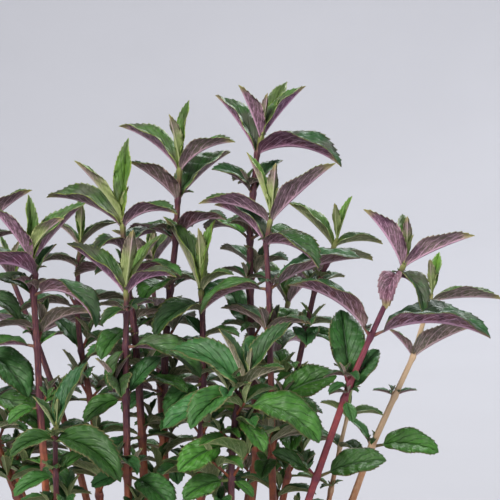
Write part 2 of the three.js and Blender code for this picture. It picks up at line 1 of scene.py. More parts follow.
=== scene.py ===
# %% [markdown]
# # Chocolate mint in a clay pot
#
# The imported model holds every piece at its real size: a clay pot, the soil in it and the leafy
# shoots, all in flat facets. This file dresses it. Each shoot is grown again from the same rows of
# measures, now with toothed, quilted leaves on rounded square stems, the soil gets its crumbs and
# the pot its clay. Measures are in millimetres, as a gardener would take them, and the meshes are
# in metres, as Blender wants them.

from collections import namedtuple
from math import cos, pi, radians, sin

import bmesh
import bpy
import numpy as np
from mathutils import Matrix, Vector, kdtree, noise


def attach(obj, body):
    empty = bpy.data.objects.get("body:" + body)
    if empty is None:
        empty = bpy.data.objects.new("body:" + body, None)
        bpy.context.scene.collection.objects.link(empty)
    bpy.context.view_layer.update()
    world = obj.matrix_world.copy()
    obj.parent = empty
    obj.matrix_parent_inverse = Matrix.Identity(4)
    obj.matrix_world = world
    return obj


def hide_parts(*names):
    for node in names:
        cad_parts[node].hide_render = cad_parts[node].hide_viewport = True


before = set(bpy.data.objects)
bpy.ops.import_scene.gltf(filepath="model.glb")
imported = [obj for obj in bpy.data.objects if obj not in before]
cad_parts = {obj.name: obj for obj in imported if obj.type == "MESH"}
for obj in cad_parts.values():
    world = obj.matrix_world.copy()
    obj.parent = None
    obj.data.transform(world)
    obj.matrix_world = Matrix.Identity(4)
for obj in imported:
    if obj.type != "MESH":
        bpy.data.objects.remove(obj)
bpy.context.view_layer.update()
print("nodes in the frame:", len(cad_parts))

# %% [markdown]
# ## The point of view
#
# The picture was taken a little from above, from far enough away that the stems hardly spread with
# height. A long lens at three quarters of a metre gives that. Its height and distance come from
# the picture's scale: in the upright plane through the pot's middle, the frame is 250 mm wide. The
# background stays sharp, because the other views use this camera too.

# %% Camera
EYE = np.array([35.0, -750.0, 393.0])
AIM = np.array([35.0, 0.0, 327.0])
FRAME_WIDTH = 250.0
SENSOR_WIDTH = 36.0
MM = 0.001

camera = bpy.data.objects.new("camera", bpy.data.cameras.new("camera"))
camera.data.sensor_width = SENSOR_WIDTH
camera.data.lens = SENSOR_WIDTH * np.linalg.norm(AIM - EYE) / FRAME_WIDTH
camera.location = EYE * MM
camera.rotation_euler = Vector(AIM - EYE).to_track_quat("-Z", "Y").to_euler()
bpy.context.scene.collection.objects.link(camera)
bpy.context.scene.camera = camera
print("lens:", round(camera.data.lens, 1), "mm")

# %% [markdown]
# ## The studio
#
# A photographer would stand the pot on a wide sheet of paper that curves up behind it, so that no
# horizon shows. Here the sheet is a shallow bowl, turned from one profile, and it looks the same
# from every side. It is big enough for the cameras of all views to stand inside it.

# %% Helpers for turned bodies and meshes
def turned_faces(rings, sides):
    """Quads between neighbouring rings of a turned body, as point numbers."""
    ring, side = np.meshgrid(np.arange(rings - 1), np.arange(sides), indexing="ij")
    here, after = ring * sides + side, ring * sides + (side + 1) % sides
    return np.stack([here, after, after + sides, here + sides], -1).reshape(-1, 4)


def turned_points(profile, sides):
    """A profile of [radius, height] points, turned about the Z axis."""
    angle = np.arange(sides) * 2 * pi / sides
    radius, height = np.asarray(profile, float).T
    return np.stack([
        radius[:, None] * np.cos(angle),
        radius[:, None] * np.sin(angle),
        np.repeat(height[:, None], sides, 1),
    ], -1).reshape(-1, 3)


def new_object(name, points, faces, materials=()):
    """A smooth mesh object from points in metres."""
    mesh = bpy.data.meshes.new(name)
    mesh.from_pydata(np.asarray(points).tolist(), [], [list(face) for face in faces])
    mesh.polygons.foreach_set("use_smooth", np.ones(len(mesh.polygons), bool))
    for material in materials:
        mesh.materials.append(material)
    made = bpy.data.objects.new(name, mesh)
    bpy.context.scene.collection.objects.link(made)
    return made


print("quads on a turned body of 3 rings and 8 sides:", len(turned_faces(3, 8)))

# %% Floor that curves up into a backdrop, in metres
BOWL_MIDDLE = 0.001
BOWL_FLAT = 2.6
BOWL_CURVE = 1.6
BOWL_WALL = 0.9
BOWL_SIDES = 96
CURVE_STEPS = 16

turn = np.linspace(0, pi / 2, CURVE_STEPS)
bowl_profile = [
    [BOWL_MIDDLE, 0],
    *zip(BOWL_FLAT + BOWL_CURVE * np.sin(turn), BOWL_CURVE * (1 - np.cos(turn))),
    [BOWL_FLAT + BOWL_CURVE, BOWL_CURVE + BOWL_WALL],
]
floor = new_object(
    "floor", turned_points(bowl_profile, BOWL_SIDES), turned_faces(len(bowl_profile), BOWL_SIDES)
)
print("radius of the backdrop:", BOWL_FLAT + BOWL_CURVE, "m")

# %% [markdown]
# ## Light
#
# The plant was lit softly from the front and a little from above left, and the rest of the room
# gave a cool fill. One large panel makes that main light, a wider and weaker one opens the shadows
# from the right, and a third from behind draws the edges of the leaves. Large panels give soft
# shadows, as under a softbox. The room itself is a pale, even glow.

# %% Three soft panels and the room
PANELS = [
    # name, place, edge length, watts, colour
    ("main_light", (-1.8, -2.9, 3.0), 1.8, 235, (1.0, 0.98, 0.95)),
    ("fill_light", (3.0, -2.2, 1.6), 2.6, 45, (0.9, 0.94, 1.0)),
    ("edge_light", (1.0, 2.8, 3.0), 1.8, 120, (0.95, 0.97, 1.0)),
]
LIT_PLACE = Vector((0, 0, 0.28))
ROOM_COLOUR = (0.80, 0.83, 0.90, 1)
ROOM_STRENGTH = 0.3

for name, place, edge, watts, colour in PANELS:
    panel = bpy.data.lights.new(name, "AREA")
    panel.shape = "SQUARE"
    panel.size = edge
    panel.energy = watts
    panel.color = colour
    lamp = bpy.data.objects.new(name, panel)
    lamp.location = place
    lamp.visible_camera = False
    lamp.rotation_euler = (LIT_PLACE - lamp.location).to_track_quat("-Z", "Y").to_euler()
    bpy.context.scene.collection.objects.link(lamp)

world = bpy.data.worlds.new("room")
world.use_nodes = True
world.node_tree.nodes["Background"].inputs["Color"].default_value = ROOM_COLOUR
world.node_tree.nodes["Background"].inputs["Strength"].default_value = ROOM_STRENGTH
bpy.context.scene.world = world
bpy.context.scene.view_settings.view_transform = "Standard"
print("panels:", len(PANELS))

# %% [markdown]
# ## Colours by name
#
# A painter mixes from the colours as the eye reads them, on a scale of 0 to 255. Blender's shaders
# count light instead, so each colour goes through the standard curve once, here.

# %% Paint
def paint(red, green, blue):
    """A colour as the eye reads it, as the light that a shader counts."""
    def light(value):
        share = value / 255
        return share / 12.92 if share <= 0.04045 else ((share + 0.055) / 1.055) ** 2.4
    return (light(red), light(green), light(blue), 1.0)


print("terracotta as light:", [round(value, 3) for value in paint(176, 104, 72)])

# %% [markdown]
# ## A shorthand for nodes
#
# A finish is a net of nodes. Each node takes four or five lines to set up, and a net has dozens. So
# the kinds that every finish needs get short helpers, and a recipe reads as a row of steps. A
# helper takes plain values and other nodes' outputs alike, and gives back its own output. The
# numbers of a fade say where it starts and ends, and then what it gives at either end.

# %% Sums, fades and mixes
def plug(tree, value, socket):
    """Links a socket, or sets a plain value."""
    if isinstance(value, bpy.types.NodeSocket):
        tree.links.new(value, socket)
    else:
        socket.default_value = value


def calculate(tree, operation, first, second=0.0, third=0.0):
    node = tree.nodes.new("ShaderNodeMath")
    node.operation = operation
    for value, socket in zip((first, second, third), node.inputs):
        plug(tree, value, socket)
    return node.outputs[0]


def times(tree, product, *factors):
    for factor in factors:
        product = calculate(tree, "MULTIPLY", product, factor)
    return product


def fade(tree, value, start, end, low=0.0, high=1.0):
    """A smooth step from low at start to high at end."""
    node = tree.nodes.new("ShaderNodeMapRange")
    node.interpolation_type = "SMOOTHSTEP"
    names = ("Value", "From Min", "From Max", "To Min", "To Max")
    for name, given in zip(names, (value, start, end, low, high)):
        plug(tree, given, node.inputs[name])
    return node.outputs["Result"]


def mix(tree, share, first, second):
    """A colour between two. This node's colours are its sockets 6 and 7, and its output 2."""
    node = tree.nodes.new("ShaderNodeMix")
    node.data_type = "RGBA"
    for value, i in ((share, 0), (first, 6), (second, 7)):
        plug(tree, value, node.inputs[i])
    return node.outputs[2]


def layered(tree, colour, *layers):
    """Lays colours over the first one, each given as (share, colour)."""
    for share, over in layers:
        colour = mix(tree, share, colour, over)
    return colour


print("steps of a recipe:", *(step.__name__ for step in (calculate, times, fade, mix, layered)))

# %% Patterns, and the numbers that a mesh carries
def cloud(tree, vector, scale, detail=3.0, roughness=0.55):
    """Soft noise between 0 and 1, mostly near a half."""
    node = tree.nodes.new("ShaderNodeTexNoise")
    plug(tree, vector, node.inputs["Vector"])
    plug(tree, scale, node.inputs["Scale"])
    node.inputs["Detail"].default_value = detail
    node.inputs["Roughness"].default_value = roughness
    return node.outputs["Fac"]


def cells(tree, vector, scale, feature="DISTANCE_TO_EDGE"):
    node = tree.nodes.new("ShaderNodeTexVoronoi")
    node.feature = feature
    plug(tree, vector, node.inputs["Vector"])
    plug(tree, scale, node.inputs["Scale"])
    return node.outputs["Distance"]


def stretched(tree, vector, scale):
    node = tree.nodes.new("ShaderNodeMapping")
    plug(tree, vector, node.inputs["Vector"])
    node.inputs["Scale"].default_value = scale
    return node.outputs["Vector"]


def place_of(tree):
    return tree.nodes.new("ShaderNodeTexCoord").outputs["Object"]


def drawn(tree, name):
    """The three numbers that a mesh carries under this name, as a vector."""
    node = tree.nodes.new("ShaderNodeAttribute")
    node.attribute_name = name
    return node.outputs["Vector"]


def split(tree, vector):
    node = tree.nodes.new("ShaderNodeSeparateXYZ")
    tree.links.new(vector, node.inputs[0])
    return node.outputs


print("patterns:", *(pattern.__name__ for pattern in (cloud, cells, stretched)))

# %% Groups and materials
GREY = (0.5, 0.5, 0.5, 1)


def new_group(name, inputs, outputs):
    """An empty node group. Inputs whose value is a colour are colours, and so is "Color"."""
    group = bpy.data.node_groups.new(name, "ShaderNodeTree")
    for socket, value in inputs.items():
        kind = "NodeSocketColor" if isinstance(value, tuple) else "NodeSocketFloat"
        made = group.interface.new_socket(socket, in_out="INPUT", socket_type=kind)
        made.default_value = value
    for socket in outputs:
        kind = "NodeSocketColor" if socket == "Color" else "NodeSocketFloat"
        group.interface.new_socket(socket, in_out="OUTPUT", socket_type=kind)
    start, end = group.nodes.new("NodeGroupInput"), group.nodes.new("NodeGroupOutput")
    return group, start.outputs, end.inputs


def give_out(group, socket_out, **values):
    """Feeds a group's outputs by name."""
    for name, value in values.items():
        group.links.new(value, socket_out[name])


def use(tree, group, **values):
    """Places a node group in a tree. Input names are written with _ for each space."""
    node = tree.nodes.new("ShaderNodeGroup")
    node.node_tree = group
    for name, value in values.items():
        plug(tree, value, node.inputs[name.replace("_", " ")])
    return node.outputs


def new_material(name):
    """A material, its tree and its shader node."""
    material = bpy.data.materials.new(name)
    material.use_nodes = True
    return material, material.node_tree, material.node_tree.nodes["Principled BSDF"]


def coat(tree, shader, colour, roughness, specular=0.5):
    """Feeds a shader its colour and roughness, and sets how strongly it glances."""
    tree.links.new(colour, shader.inputs["Base Color"])
    plug(tree, roughness, shader.inputs["Roughness"])
    shader.inputs["Specular IOR Level"].default_value = specular


def raise_surface(tree, shader, height, distance, strength):
    """Feeds a height through a Bump node to the shader's normal."""
    bump = tree.nodes.new("ShaderNodeBump")
    bump.inputs["Distance"].default_value = distance
    bump.inputs["Strength"].default_value = strength
    plug(tree, height, bump.inputs["Height"])
    tree.links.new(bump.outputs["Normal"], shader.inputs["Normal"])


print("helpers for nodes are ready, and a plain colour is", GREY)

# %% [markdown]
# ## Two effects that many finishes share
#
# No natural surface has one even colour. *Mottle* lays a second colour over the first in soft
# patches, and leaves, stems, clay and peat all use it with their own strength and scale. *Grain* is
# a fine sandy relief with dark pits, for what was dug or fired. Both read the place on the object
# itself, so the pattern stays put when the point of view moves.

# %% Mottle and Grain
MOTTLE, socket_in, socket_out = new_group(
    "Mottle", {"Color": GREY, "Shade": (0.2, 0.2, 0.2, 1), "Scale": 60.0, "Amount": 0.5}, ["Color"]
)
patches = fade(MOTTLE, cloud(MOTTLE, place_of(MOTTLE), socket_in["Scale"], detail=4), 0.35, 0.68)
share = times(MOTTLE, patches, socket_in["Amount"])
give_out(MOTTLE, socket_out, Color=mix(MOTTLE, share, socket_in["Color"], socket_in["Shade"]))

GRAIN, socket_in, socket_out = new_group(
    "Grain", {"Scale": 900.0, "Pits": 0.5}, ["Height", "Pits"]
)
sand = cloud(GRAIN, place_of(GRAIN), socket_in["Scale"], detail=6, roughness=0.7)
holes = fade(GRAIN, cells(GRAIN, place_of(GRAIN), socket_in["Scale"], "F1"), 0.12, 0.3, 1.0, 0.0)
pits = times(GRAIN, holes, socket_in["Pits"])
give_out(GRAIN, socket_out, Height=calculate(GRAIN, "SUBTRACT", sand, pits), Pits=pits)
print("shared effects:", MOTTLE.name, GRAIN.name)

# %% [markdown]
# ## Paper for the floor
#
# The backdrop is matt paper of a pale, slightly cool grey. It has a hint of cloudiness, so that it
# doesn't look like empty space where it fills the frame.

# %% Paper
PAPER, tree, shader = new_material("backdrop_paper")
tint = use(
    tree, MOTTLE, Color=paint(178, 178, 183), Shade=paint(172, 172, 177), Scale=1.4, Amount=0.5
)
coat(tree, shader, tint["Color"], 0.9)
floor.data.materials.append(PAPER)
print("finish of the floor:", PAPER.name)

# %% [markdown]
# ## How the plant is measured
#
# A mint shoot is a square stem with a pair of leaves at each knot, and each pair stands at a right
# angle to the next. So a shoot needs few measures: where its foot stands, where each knot lies in
# the front view, and five numbers a leaf. These are the rows that the flat-faceted shoots in the
# frame were grown from, so that every fine leaf grows where its plain one is.

# %% What a row says
leaf = namedtuple("leaf", "length rise arch heading tip", defaults=(None, 0))
shoot = namedtuple("shoot", "name foot depth turn knots bud")


def knot(across, height, *pair):
    """Where a knot lies in the front view, and its pair of leaves."""
    return across, height, pair


SHOOTS = []
print("numbers of a leaf:", *leaf._fields)

# %% [markdown]
# ### Right and middle, in front
#
# The crimson shoot leans right and carries the two broadest purple leaves. The one in the middle
# stands nearly upright, and a short green one grows before it.

# %% Right and middle, in front: rows
SHOOTS += [
  shoot("shoot_red_right", [50, -18], -30, 0, [
    knot(60, 186),
    knot(68.5, 211, leaf(36, 28, 24, 352, 32), leaf(26, 43, 24, 188, 30)),
    knot(82.5, 251.5, leaf(30, 61, 20, 22, 25), leaf(14, -28, 30, 290)),
    knot(85, 258.5, leaf(38, 76, 14, 105), leaf(13, 13, 50, 215, 20)),
    knot(95.5, 283, leaf(60, 30, 58, 350, -14), leaf(50, 60, 54, 190, -14)),
    knot(109, 313.5, leaf(28, 12, 96, 300), leaf(26, 14, 100, 248)),
    knot(111.5, 318.5, leaf(38, 32, 14, 342, -16), leaf(35, 66, 24, 198, -16)),
  ], [leaf(30, 45, 4, 90), leaf(21, 85, 0, 270)]),
  shoot("shoot_centre", [44, 0], -8, -15, [
    knot(47, 192),
    knot(46, 221, leaf(22, 8, 45), leaf(22, 8, 45)),
    knot(46, 248, leaf(37, 44, 36, 350, 46), leaf(20, 42, 60, 190, 20)),
    knot(45, 279.5, leaf(30, 44, 30, 60, 20), leaf(25, 22, 60, 240, 20)),
    knot(44.5, 307, leaf(49, 37, 34, 350, -8), leaf(38, 14, 66, 186, -10)),
    knot(43, 330, leaf(36, 55, 46, 150), leaf(40, 14, 56, 312, -6)),
    knot(45, 341, leaf(45, 46, 10, 338, -18), leaf(38, 38, 46, 192, -16)),
  ], [leaf(33, 70, 6, 160), leaf(26, 77, 0, 290)]),
  shoot("shoot_low_centre", [24, -42], -52, 20, [
    knot(25.5, 189.5),
    knot(25.5, 210, leaf(14, -10, 40, 330, 20), leaf(26, 5, 40, 205, 36)),
    knot(26, 228.5, leaf(18, 58, 20, 20, 30), leaf(30, -1, 40, 205, 44)),
    knot(27.5, 242, leaf(20, 33, 30, 110), leaf(25, -12, 40, 310)),
    knot(28.5, 247.5, leaf(45, 13, 66, 342, 26), leaf(37, 10, 50, 188, 24)),
    knot(29.5, 253, leaf(31, 38, 50, 60), leaf(36, 12, 60, 228, 24)),
    knot(31, 257, leaf(41, 50, 52, 160, 36), leaf(27, 41, 30, 325, -10)),
    knot(32.5, 260, leaf(36, 55, 10, 20, 20), leaf(28, 68, 10, 165)),
  ], [leaf(16, 70, 0), leaf(14, 74, 0)]),
]
print("rows so far:", len(SHOOTS))

# %% [markdown]
# ### Left, in front
#
# Three dark shoots of much the same height, each with a wide cross of purple leaves on top.

# %% Left, in front: rows
SHOOTS += [
  shoot("shoot_front_left", [-26, -16], -22, -20, [
    knot(-26.5, 187),
    knot(-27, 212, leaf(33, -1, 40, 320, 30), leaf(19, 8, 40, 200, 34)),
    knot(-27.5, 251.5, leaf(27, 62, 30, 22, 26), leaf(24, 1, 56, 196, 40)),
    knot(-27.5, 278, leaf(42, 8, 56, 346, 16), leaf(23, -51, 40, 205, 10)),
    knot(-27, 295, leaf(17, 42, 56, 35, 10), leaf(18, 16, 60, 228, 16)),
    knot(-27, 305, leaf(30, 50, 62, 338, -14), leaf(39, 47, 18, 165, -10)),
  ], [leaf(31, 54, 8, 35), leaf(31, 65, 0, 290)]),
  shoot("shoot_left", [-60, -14], -18, 30, [
    knot(-68, 192),
    knot(-69, 217, leaf(24, 10, 45), leaf(26, 8, 50)),
    knot(-71, 247, leaf(16, 52, 50, 20, 20), leaf(18, 6, 60, 200, 30)),
    knot(-72, 278, leaf(21, 31, 40, 60), leaf(29, 18, 40, 192, -10)),
    knot(-73.5, 304, leaf(44, 30, 100, 332, -10), leaf(25, 41, 50, 158, 20)),
    knot(-72.5, 314.5, leaf(21, 52, 20, 55), leaf(46, 38, 84, 218, -14)),
    knot(-74, 321, leaf(40, 53, 16, 28, -10), leaf(35, 61, 16, 205, -10)),
  ], [leaf(29, 90, 4, 130), leaf(35, 48, 30, 312)]),
  shoot("shoot_second_left", [-15, 2], 4, -30, [
    knot(-18.5, 202),
    knot(-19.5, 232, leaf(26, 8, 45), leaf(28, 8, 50)),
    knot(-21, 260, leaf(30, 20, 50), leaf(28, 10, 50)),
    knot(-23, 286, leaf(32, 24, 60), leaf(32, 10, 60)),
    knot(-26.5, 312, leaf(34, 36, 60), leaf(34, 30, 60)),
    knot(-28, 326, leaf(27, 43, 50, 55), leaf(25, 48, 90, 235, -10)),
    knot(-28.5, 338.5, leaf(34, 46, 66, 334, -16), leaf(47, 41, 46, 158, -6)),
  ], [leaf(41, 82, 0, 60), leaf(38, 58, 14, 195, -10)]),
]
print("rows so far:", len(SHOOTS))

# %% [markdown]
# ### The tall ones
#
# These stand a little behind the others and look over them. The lower half of each is hidden, so
# those leaves follow the plant's habit.

# %% The tall ones: rows
SHOOTS += [
  shoot("shoot_middle", [10, 6], 8, -30, [
    knot(10, 202),
    knot(10.5, 232, leaf(24, 8, 40), leaf(26, 8, 45)),
    knot(11, 259.5, leaf(26, 12, 50), leaf(29, -6, 50, 225, 30)),
    knot(11.5, 283, leaf(22, 30, 50), leaf(15, 52, 20, 150, 30)),
    knot(11, 297, leaf(22, 39, 40, 50, 10), leaf(35, 13, 66, 222, 20)),
    knot(10.5, 305.5, leaf(23, 61, 66, 330, -10), leaf(44, 54, 16, 152)),
  ], [leaf(34, 77, 6, 40), leaf(29, 88, 4, 240)]),
  shoot("shoot_third", [-8, 26], 26, -35, [
    knot(-8.5, 227, leaf(24, 8, 40), leaf(24, 8, 40)),
    knot(-8.5, 254, leaf(28, 12, 50), leaf(28, 12, 50)),
    knot(-7.5, 279.5, leaf(32, 20, 55), leaf(32, 16, 55)),
    knot(-5, 307, leaf(34, 30, 60), leaf(34, 26, 60)),
    knot(-2, 332, leaf(36, 36, 60), leaf(34, 30, 60)),
    knot(-1, 352, leaf(48, 40, 20, 50), leaf(35, 45, 20, 215, -10)),
    knot(0, 366.5, leaf(37, 50, 50, 332, -16), leaf(42, 54, 40, 160, -8)),
  ], [leaf(33, 81, 6, 50), leaf(27, 71, 6, 240)]),
  shoot("shoot_tall", [30, 30], 34, 40, [
    knot(38.5, 224.5, leaf(24, 8, 40), leaf(24, 8, 40)),
    knot(37.5, 253, leaf(30, 12, 50), leaf(30, 12, 50)),
    knot(36, 281, leaf(36, 60, 10, 135), leaf(21, 30, 60, 320)),
    knot(35, 307, leaf(38, 30, 60), leaf(38, 26, 60)),
    knot(35, 332, leaf(38, 34, 60), leaf(36, 30, 60)),
    knot(36.5, 355, leaf(27, 55, 30, 40), leaf(27, 55, 50, 200, 34)),
    knot(38.5, 375, leaf(42, 57, 20, 140), leaf(51, 24, 62, 332, -14)),
    knot(40.5, 382.5, leaf(37, 55, 14, 20, -10), leaf(31, 68, 10, 215, -10)),
  ], [leaf(37, 48, 6, 60), leaf(20, 80, 0)]),
]
print("rows so far:", len(SHOOTS))

# %% [markdown]
# ### Right, and small ones
#
# The pale shoot leans out to the right on a bare, straw-coloured stem. Of the small ones, one
# grows low at the left and one stands thin and bare at the right.

# %% Right, and small ones: rows
SHOOTS += [
  shoot("shoot_behind_right", [42, 24], 18, 0, [
    knot(54, 212, leaf(22, 8, 40), leaf(22, 8, 40)),
    knot(55, 237, leaf(26, 8, 50), leaf(26, 8, 50)),
    knot(56.5, 256, leaf(23, -31, 40, 310, 20), leaf(26, 12, 50)),
    knot(62.5, 284.5, leaf(19, 14, 60, 355, 34), leaf(28, 24, 55)),
    knot(67.5, 307, leaf(22, 39, 50, 40), leaf(18, 42, 70, 200, 10)),
    knot(73.5, 320, leaf(29, 21, 40, 30, 10), leaf(19, 32, 70, 220)),
    knot(77, 329, leaf(27, 21, 40, 15, -6), leaf(34, 49, 18, 155)),
  ], [leaf(24, 66, 4, 40), leaf(19, 77, 0, 250)]),
  shoot("shoot_pale_right", [59, 15], 14, 0, [
    knot(86, 197),
    knot(96.5, 227, leaf(35, 16, 38, 352, 36), leaf(19, 62, 20, 190, 30)),
    knot(108, 253, leaf(12, 30, 30), leaf(12, 30, 30)),
    knot(117, 273, leaf(37, 38, 18, 332, -30), leaf(20, 58, 20, 195, 10)),
    knot(125, 301, leaf(37, 14, 22, 352, -20), leaf(17, 64, 30, 190)),
  ], [leaf(26, 54, 6, 70), leaf(19, 78, 4, 250)]),
  shoot("shoot_small_left", [-53, -33], -50, 20, [
    knot(-63, 192),
    knot(-63.5, 212, leaf(19, 49, 30, 15, 30), leaf(22, -2, 40, 200, 34)),
    knot(-63.5, 230, leaf(42, 10, 66, 332, 34), leaf(25, 19, 60, 215, 36)),
    knot(-63, 236, leaf(35, 65, 4, 25, 16), leaf(19, 73, 10, 170)),
  ], [leaf(12, 84, 0), leaf(12, 74, 0)]),
  shoot("shoot_thin_right", [44, 41], 44, 30, [
    knot(71, 179.5),
    knot(76, 204.5),
    knot(80.5, 227, leaf(24, 20, 50), leaf(22, 20, 50)),
    knot(84, 242, leaf(21, 26, 50, 10, 10), leaf(20, 50, 40)),
  ], [leaf(16, 80, 0), leaf(14, 78, 0)]),
]
print("rows so far:", len(SHOOTS))

# %% [markdown]
# ### At the left edge
#
# The picture's edge cuts these off, so some of their leaves are drawn from their neighbours.

# %% At the left edge: rows
SHOOTS += [
  shoot("shoot_behind_left", [-38, 22], 30, 15, [
    knot(-41.5, 202),
    knot(-42.5, 227, leaf(26, 8, 45), leaf(26, 8, 45)),
    knot(-45.5, 251, leaf(28, 12, 50), leaf(28, 12, 50)),
    knot(-50, 276, leaf(21, 45, 50, 25), leaf(24, 56, 20, 160, 20)),
    knot(-52, 298, leaf(32, 30, 60), leaf(32, 26, 60)),
    knot(-51, 318, leaf(21, 58, 50, 40), leaf(22, 43, 70, 200)),
    knot(-50, 328, leaf(24, 59, 50, 10), leaf(20, 62, 40, 170)),
  ], [leaf(22, 82, 0), leaf(20, 76, 0)]),
  shoot("shoot_far_left", [-60, 4], -6, -15, [
    knot(-83, 202),
    knot(-93, 228, leaf(28, 8, 45), leaf(30, 8, 50)),
    knot(-100, 254, leaf(41, -2, 50, 328, 24), leaf(34, 10, 50)),
    knot(-102.5, 277, leaf(40, -9, 50, 330, 24), leaf(34, 20, 60)),
    knot(-102, 302, leaf(27, 14, 70, 340, 24), leaf(26, 20, 80, 200)),
    knot(-99, 327, leaf(23, 38, 40, 50), leaf(27, 45, 80, 215)),
    knot(-97.5, 338, leaf(33, 46, 20, 340, -14), leaf(33, 56, 60, 165)),
  ], [leaf(27, 80, 4), leaf(25, 70, 6)]),
]
print("rows in all:", len(SHOOTS))

# %% [markdown]
# ### Shoots that the picture hides
#
# The far side of the clump can't be seen in the picture, but the other views show it. These shoots
# have no measures of their own. They follow the habit of the rest: pairs that grow smaller and
# steeper towards the tip, with a little variety from a row of repeatable draws.

# %% Hidden shoots: rows and habit
HIDDEN_SHOOTS = [
    # name, foot, tip as (across, depth, height), heading of the top pair, pairs
    ("shoot_outer_left", (-58, 20), (-132, 16, 306), 10, 5),
    ("shoot_back_left", (-34, 46), (-84, 66, 312), 60, 5),
    ("shoot_back", (-6, 57), (-14, 88, 318), 20, 5),
    ("shoot_back_right", (25, 54), (54, 84, 300), -25, 5),
    ("shoot_low_back", (8, 40), (30, 112, 236), 40, 3),
    ("shoot_low_front", (-2, -57), (-12, -94, 168), 15, 3),
]
HIDDEN_FIRST_KNOT = 0.24
HIDDEN_OUTWARD = 0.55
HIDDEN_CROWDING = 0.85
HIDDEN_BUD = [leaf(22, 72, 0), leaf(20, 68, 0)]
HIDDEN_SIZES = [34, 44, 38, 32, 27]
HIDDEN_RISES = [54, 42, 30, 18, 10]
HIDDEN_ARCHES = [30, 66, 62, 52, 44]
SIZE_VARIETY, RISE_VARIETY, ARCH_VARIETY = 0.1, 8, 14
HIDDEN_SEED = 1000
print("hidden shoots:", len(HIDDEN_SHOOTS))

# %% Hidden shoots: plans
SOIL_LEVEL = 132.0
DRAW_FACTOR, DRAW_STEP, DRAW_RANGE = 1664525, 1013904223, 2**32


def draws(seed):
    """Endless repeatable draws between -1 and 1."""
    state = seed
    while True:
        state = (state * DRAW_FACTOR + DRAW_STEP) % DRAW_RANGE
        yield state / DRAW_RANGE * 2 - 1


def hidden_plan(name, foot, tip, turn, pairs, seed):
    draw = draws(seed)
    across, depth, height = tip
    knots = []
    for i in range(pairs):
        upwards = (i / (pairs - 1)) ** HIDDEN_CROWDING
        share = HIDDEN_FIRST_KNOT + (1 - HIDDEN_FIRST_KNOT) * upwards
        out = HIDDEN_OUTWARD * share + (1 - HIDDEN_OUTWARD) * share * share
        below = pairs - 1 - i
        pair = [
            leaf(
                HIDDEN_SIZES[below] * (1 + SIZE_VARIETY * next(draw)),
                HIDDEN_RISES[below] + RISE_VARIETY * next(draw),
                HIDDEN_ARCHES[below] + ARCH_VARIETY * next(draw),
            )
            for _ in range(2)
        ]
        place = foot[0] + (across - foot[0]) * out, SOIL_LEVEL + (height - SOIL_LEVEL) * share
        knots.append(knot(*place, *pair))
    return shoot(name, foot, depth, turn, knots, HIDDEN_BUD)


plans = SHOOTS + [hidden_plan(*row, HIDDEN_SEED + i) for i, row in enumerate(HIDDEN_SHOOTS)]
print("shoots:", len(plans))

# %% [markdown]
# ### From the front view into the room
#
# A knot's row says where it stands in the picture. The shoot's depth then slides it back, or
# forward, along the line of sight through that place, so that it stays where the picture shows it.

# %% Places of the knots
COLLAR, BUD_STALK = 9.0, 4.0


def behind_picture(across, height, depth):
    share = (depth - EYE[1]) / -EYE[1]
    return np.array([
        EYE[0] + (across - EYE[0]) * share,
        depth,
        EYE[2] + (height - EYE[2]) * share,
    ])


def places_of(plan):
    """Collar, knots and bud of a shoot, from just above the soil to the tip."""
    x, y = plan.foot
    top = plan.knots[-1][1]
    places = [np.array([x, y, SOIL_LEVEL + COLLAR])]
    for across, height, _ in plan.knots:
        share = (height - SOIL_LEVEL) / (top - SOIL_LEVEL)
        places.append(behind_picture(across, height, y + (plan.depth - y) * share))
    last_step = places[-1] - places[-2]
    places.append(places[-1] + last_step / np.linalg.norm(last_step) * BUD_STALK)
    return places


def leaves_of(plan):
    """Each leaf of a shoot as (shape, root, pairs above it, heading)."""
    places = places_of(plan)
    top = len(plan.knots) - 1
    rows = []
    for i, (_, _, pair) in enumerate(plan.knots):
        above = top - i + 1
        quarter = plan.turn + 90 * ((top - i) % 2)
        rows += [(shape, places[i + 1], above, quarter + 180 * k) for k, shape in enumerate(pair)]
    rows += [(shape, places[-1], 0, plan.turn + 90 + 180 * k) for k, shape in enumerate(plan.bud)]
    return [
        (shape, root, above, usual if shape.heading is None else shape.heading)
        for shape, root, above, usual in rows
    ]


print("leaves:", sum(len(leaves_of(plan)) for plan in plans))

# %% [markdown]
# ### The line of a leaf
#
# Mint leaves leave the stem at an angle and bend over in an even arc. An arc needs no curve
# object: its places follow from the angle by a short formula. Two more directions go along with it,
# one across the blade and one out of its upper face, which the leaf may tip towards the light.

# %% Midrib
UP = np.array([0.0, 0.0, 1.0])
BARELY = 1e-4


def level_way(azimuth):
    """The level direction at an angle from the X axis."""
    return np.array([cos(azimuth), sin(azimuth), 0.0])


def midrib(root, heading, shape, shares):
    """Places, directions along, across and out of the upper face, at shares of the length."""
    azimuth = radians(heading)
    out = level_way(azimuth)
    level = np.array([-sin(azimuth), cos(azimuth), 0.0])
    start, bend = radians(shape.rise), radians(shape.arch) or BARELY
    angle = (start - bend * shares)[:, None]
    along = np.cos(angle) * out + np.sin(angle) * UP
    place = root + shape.length / bend * (
        (sin(start) - np.sin(angle)) * out + (np.cos(angle) - cos(start)) * UP
    )
    face = np.cross(along, level)
    roll = radians(shape.tip) * out[0]
    side = level * cos(roll) + face * sin(roll)
    return place, along, side, face * cos(roll) - level * sin(roll)


example = leaf(40, 45, 40)
print("tip of a leaf of 40 mm:", midrib(np.zeros(3), 0, example, np.ones(1))[0][0].round(1))

# %% [markdown]
# ### The habit of a leaf
#
# How wide a leaf is, how much of it is stalk, how sharply it folds and how full it is near its base
# all change with age. Age is counted in pairs: the youngest leaves have none above them. So each
# trait is a short row of numbers, one for each pair from the top down.

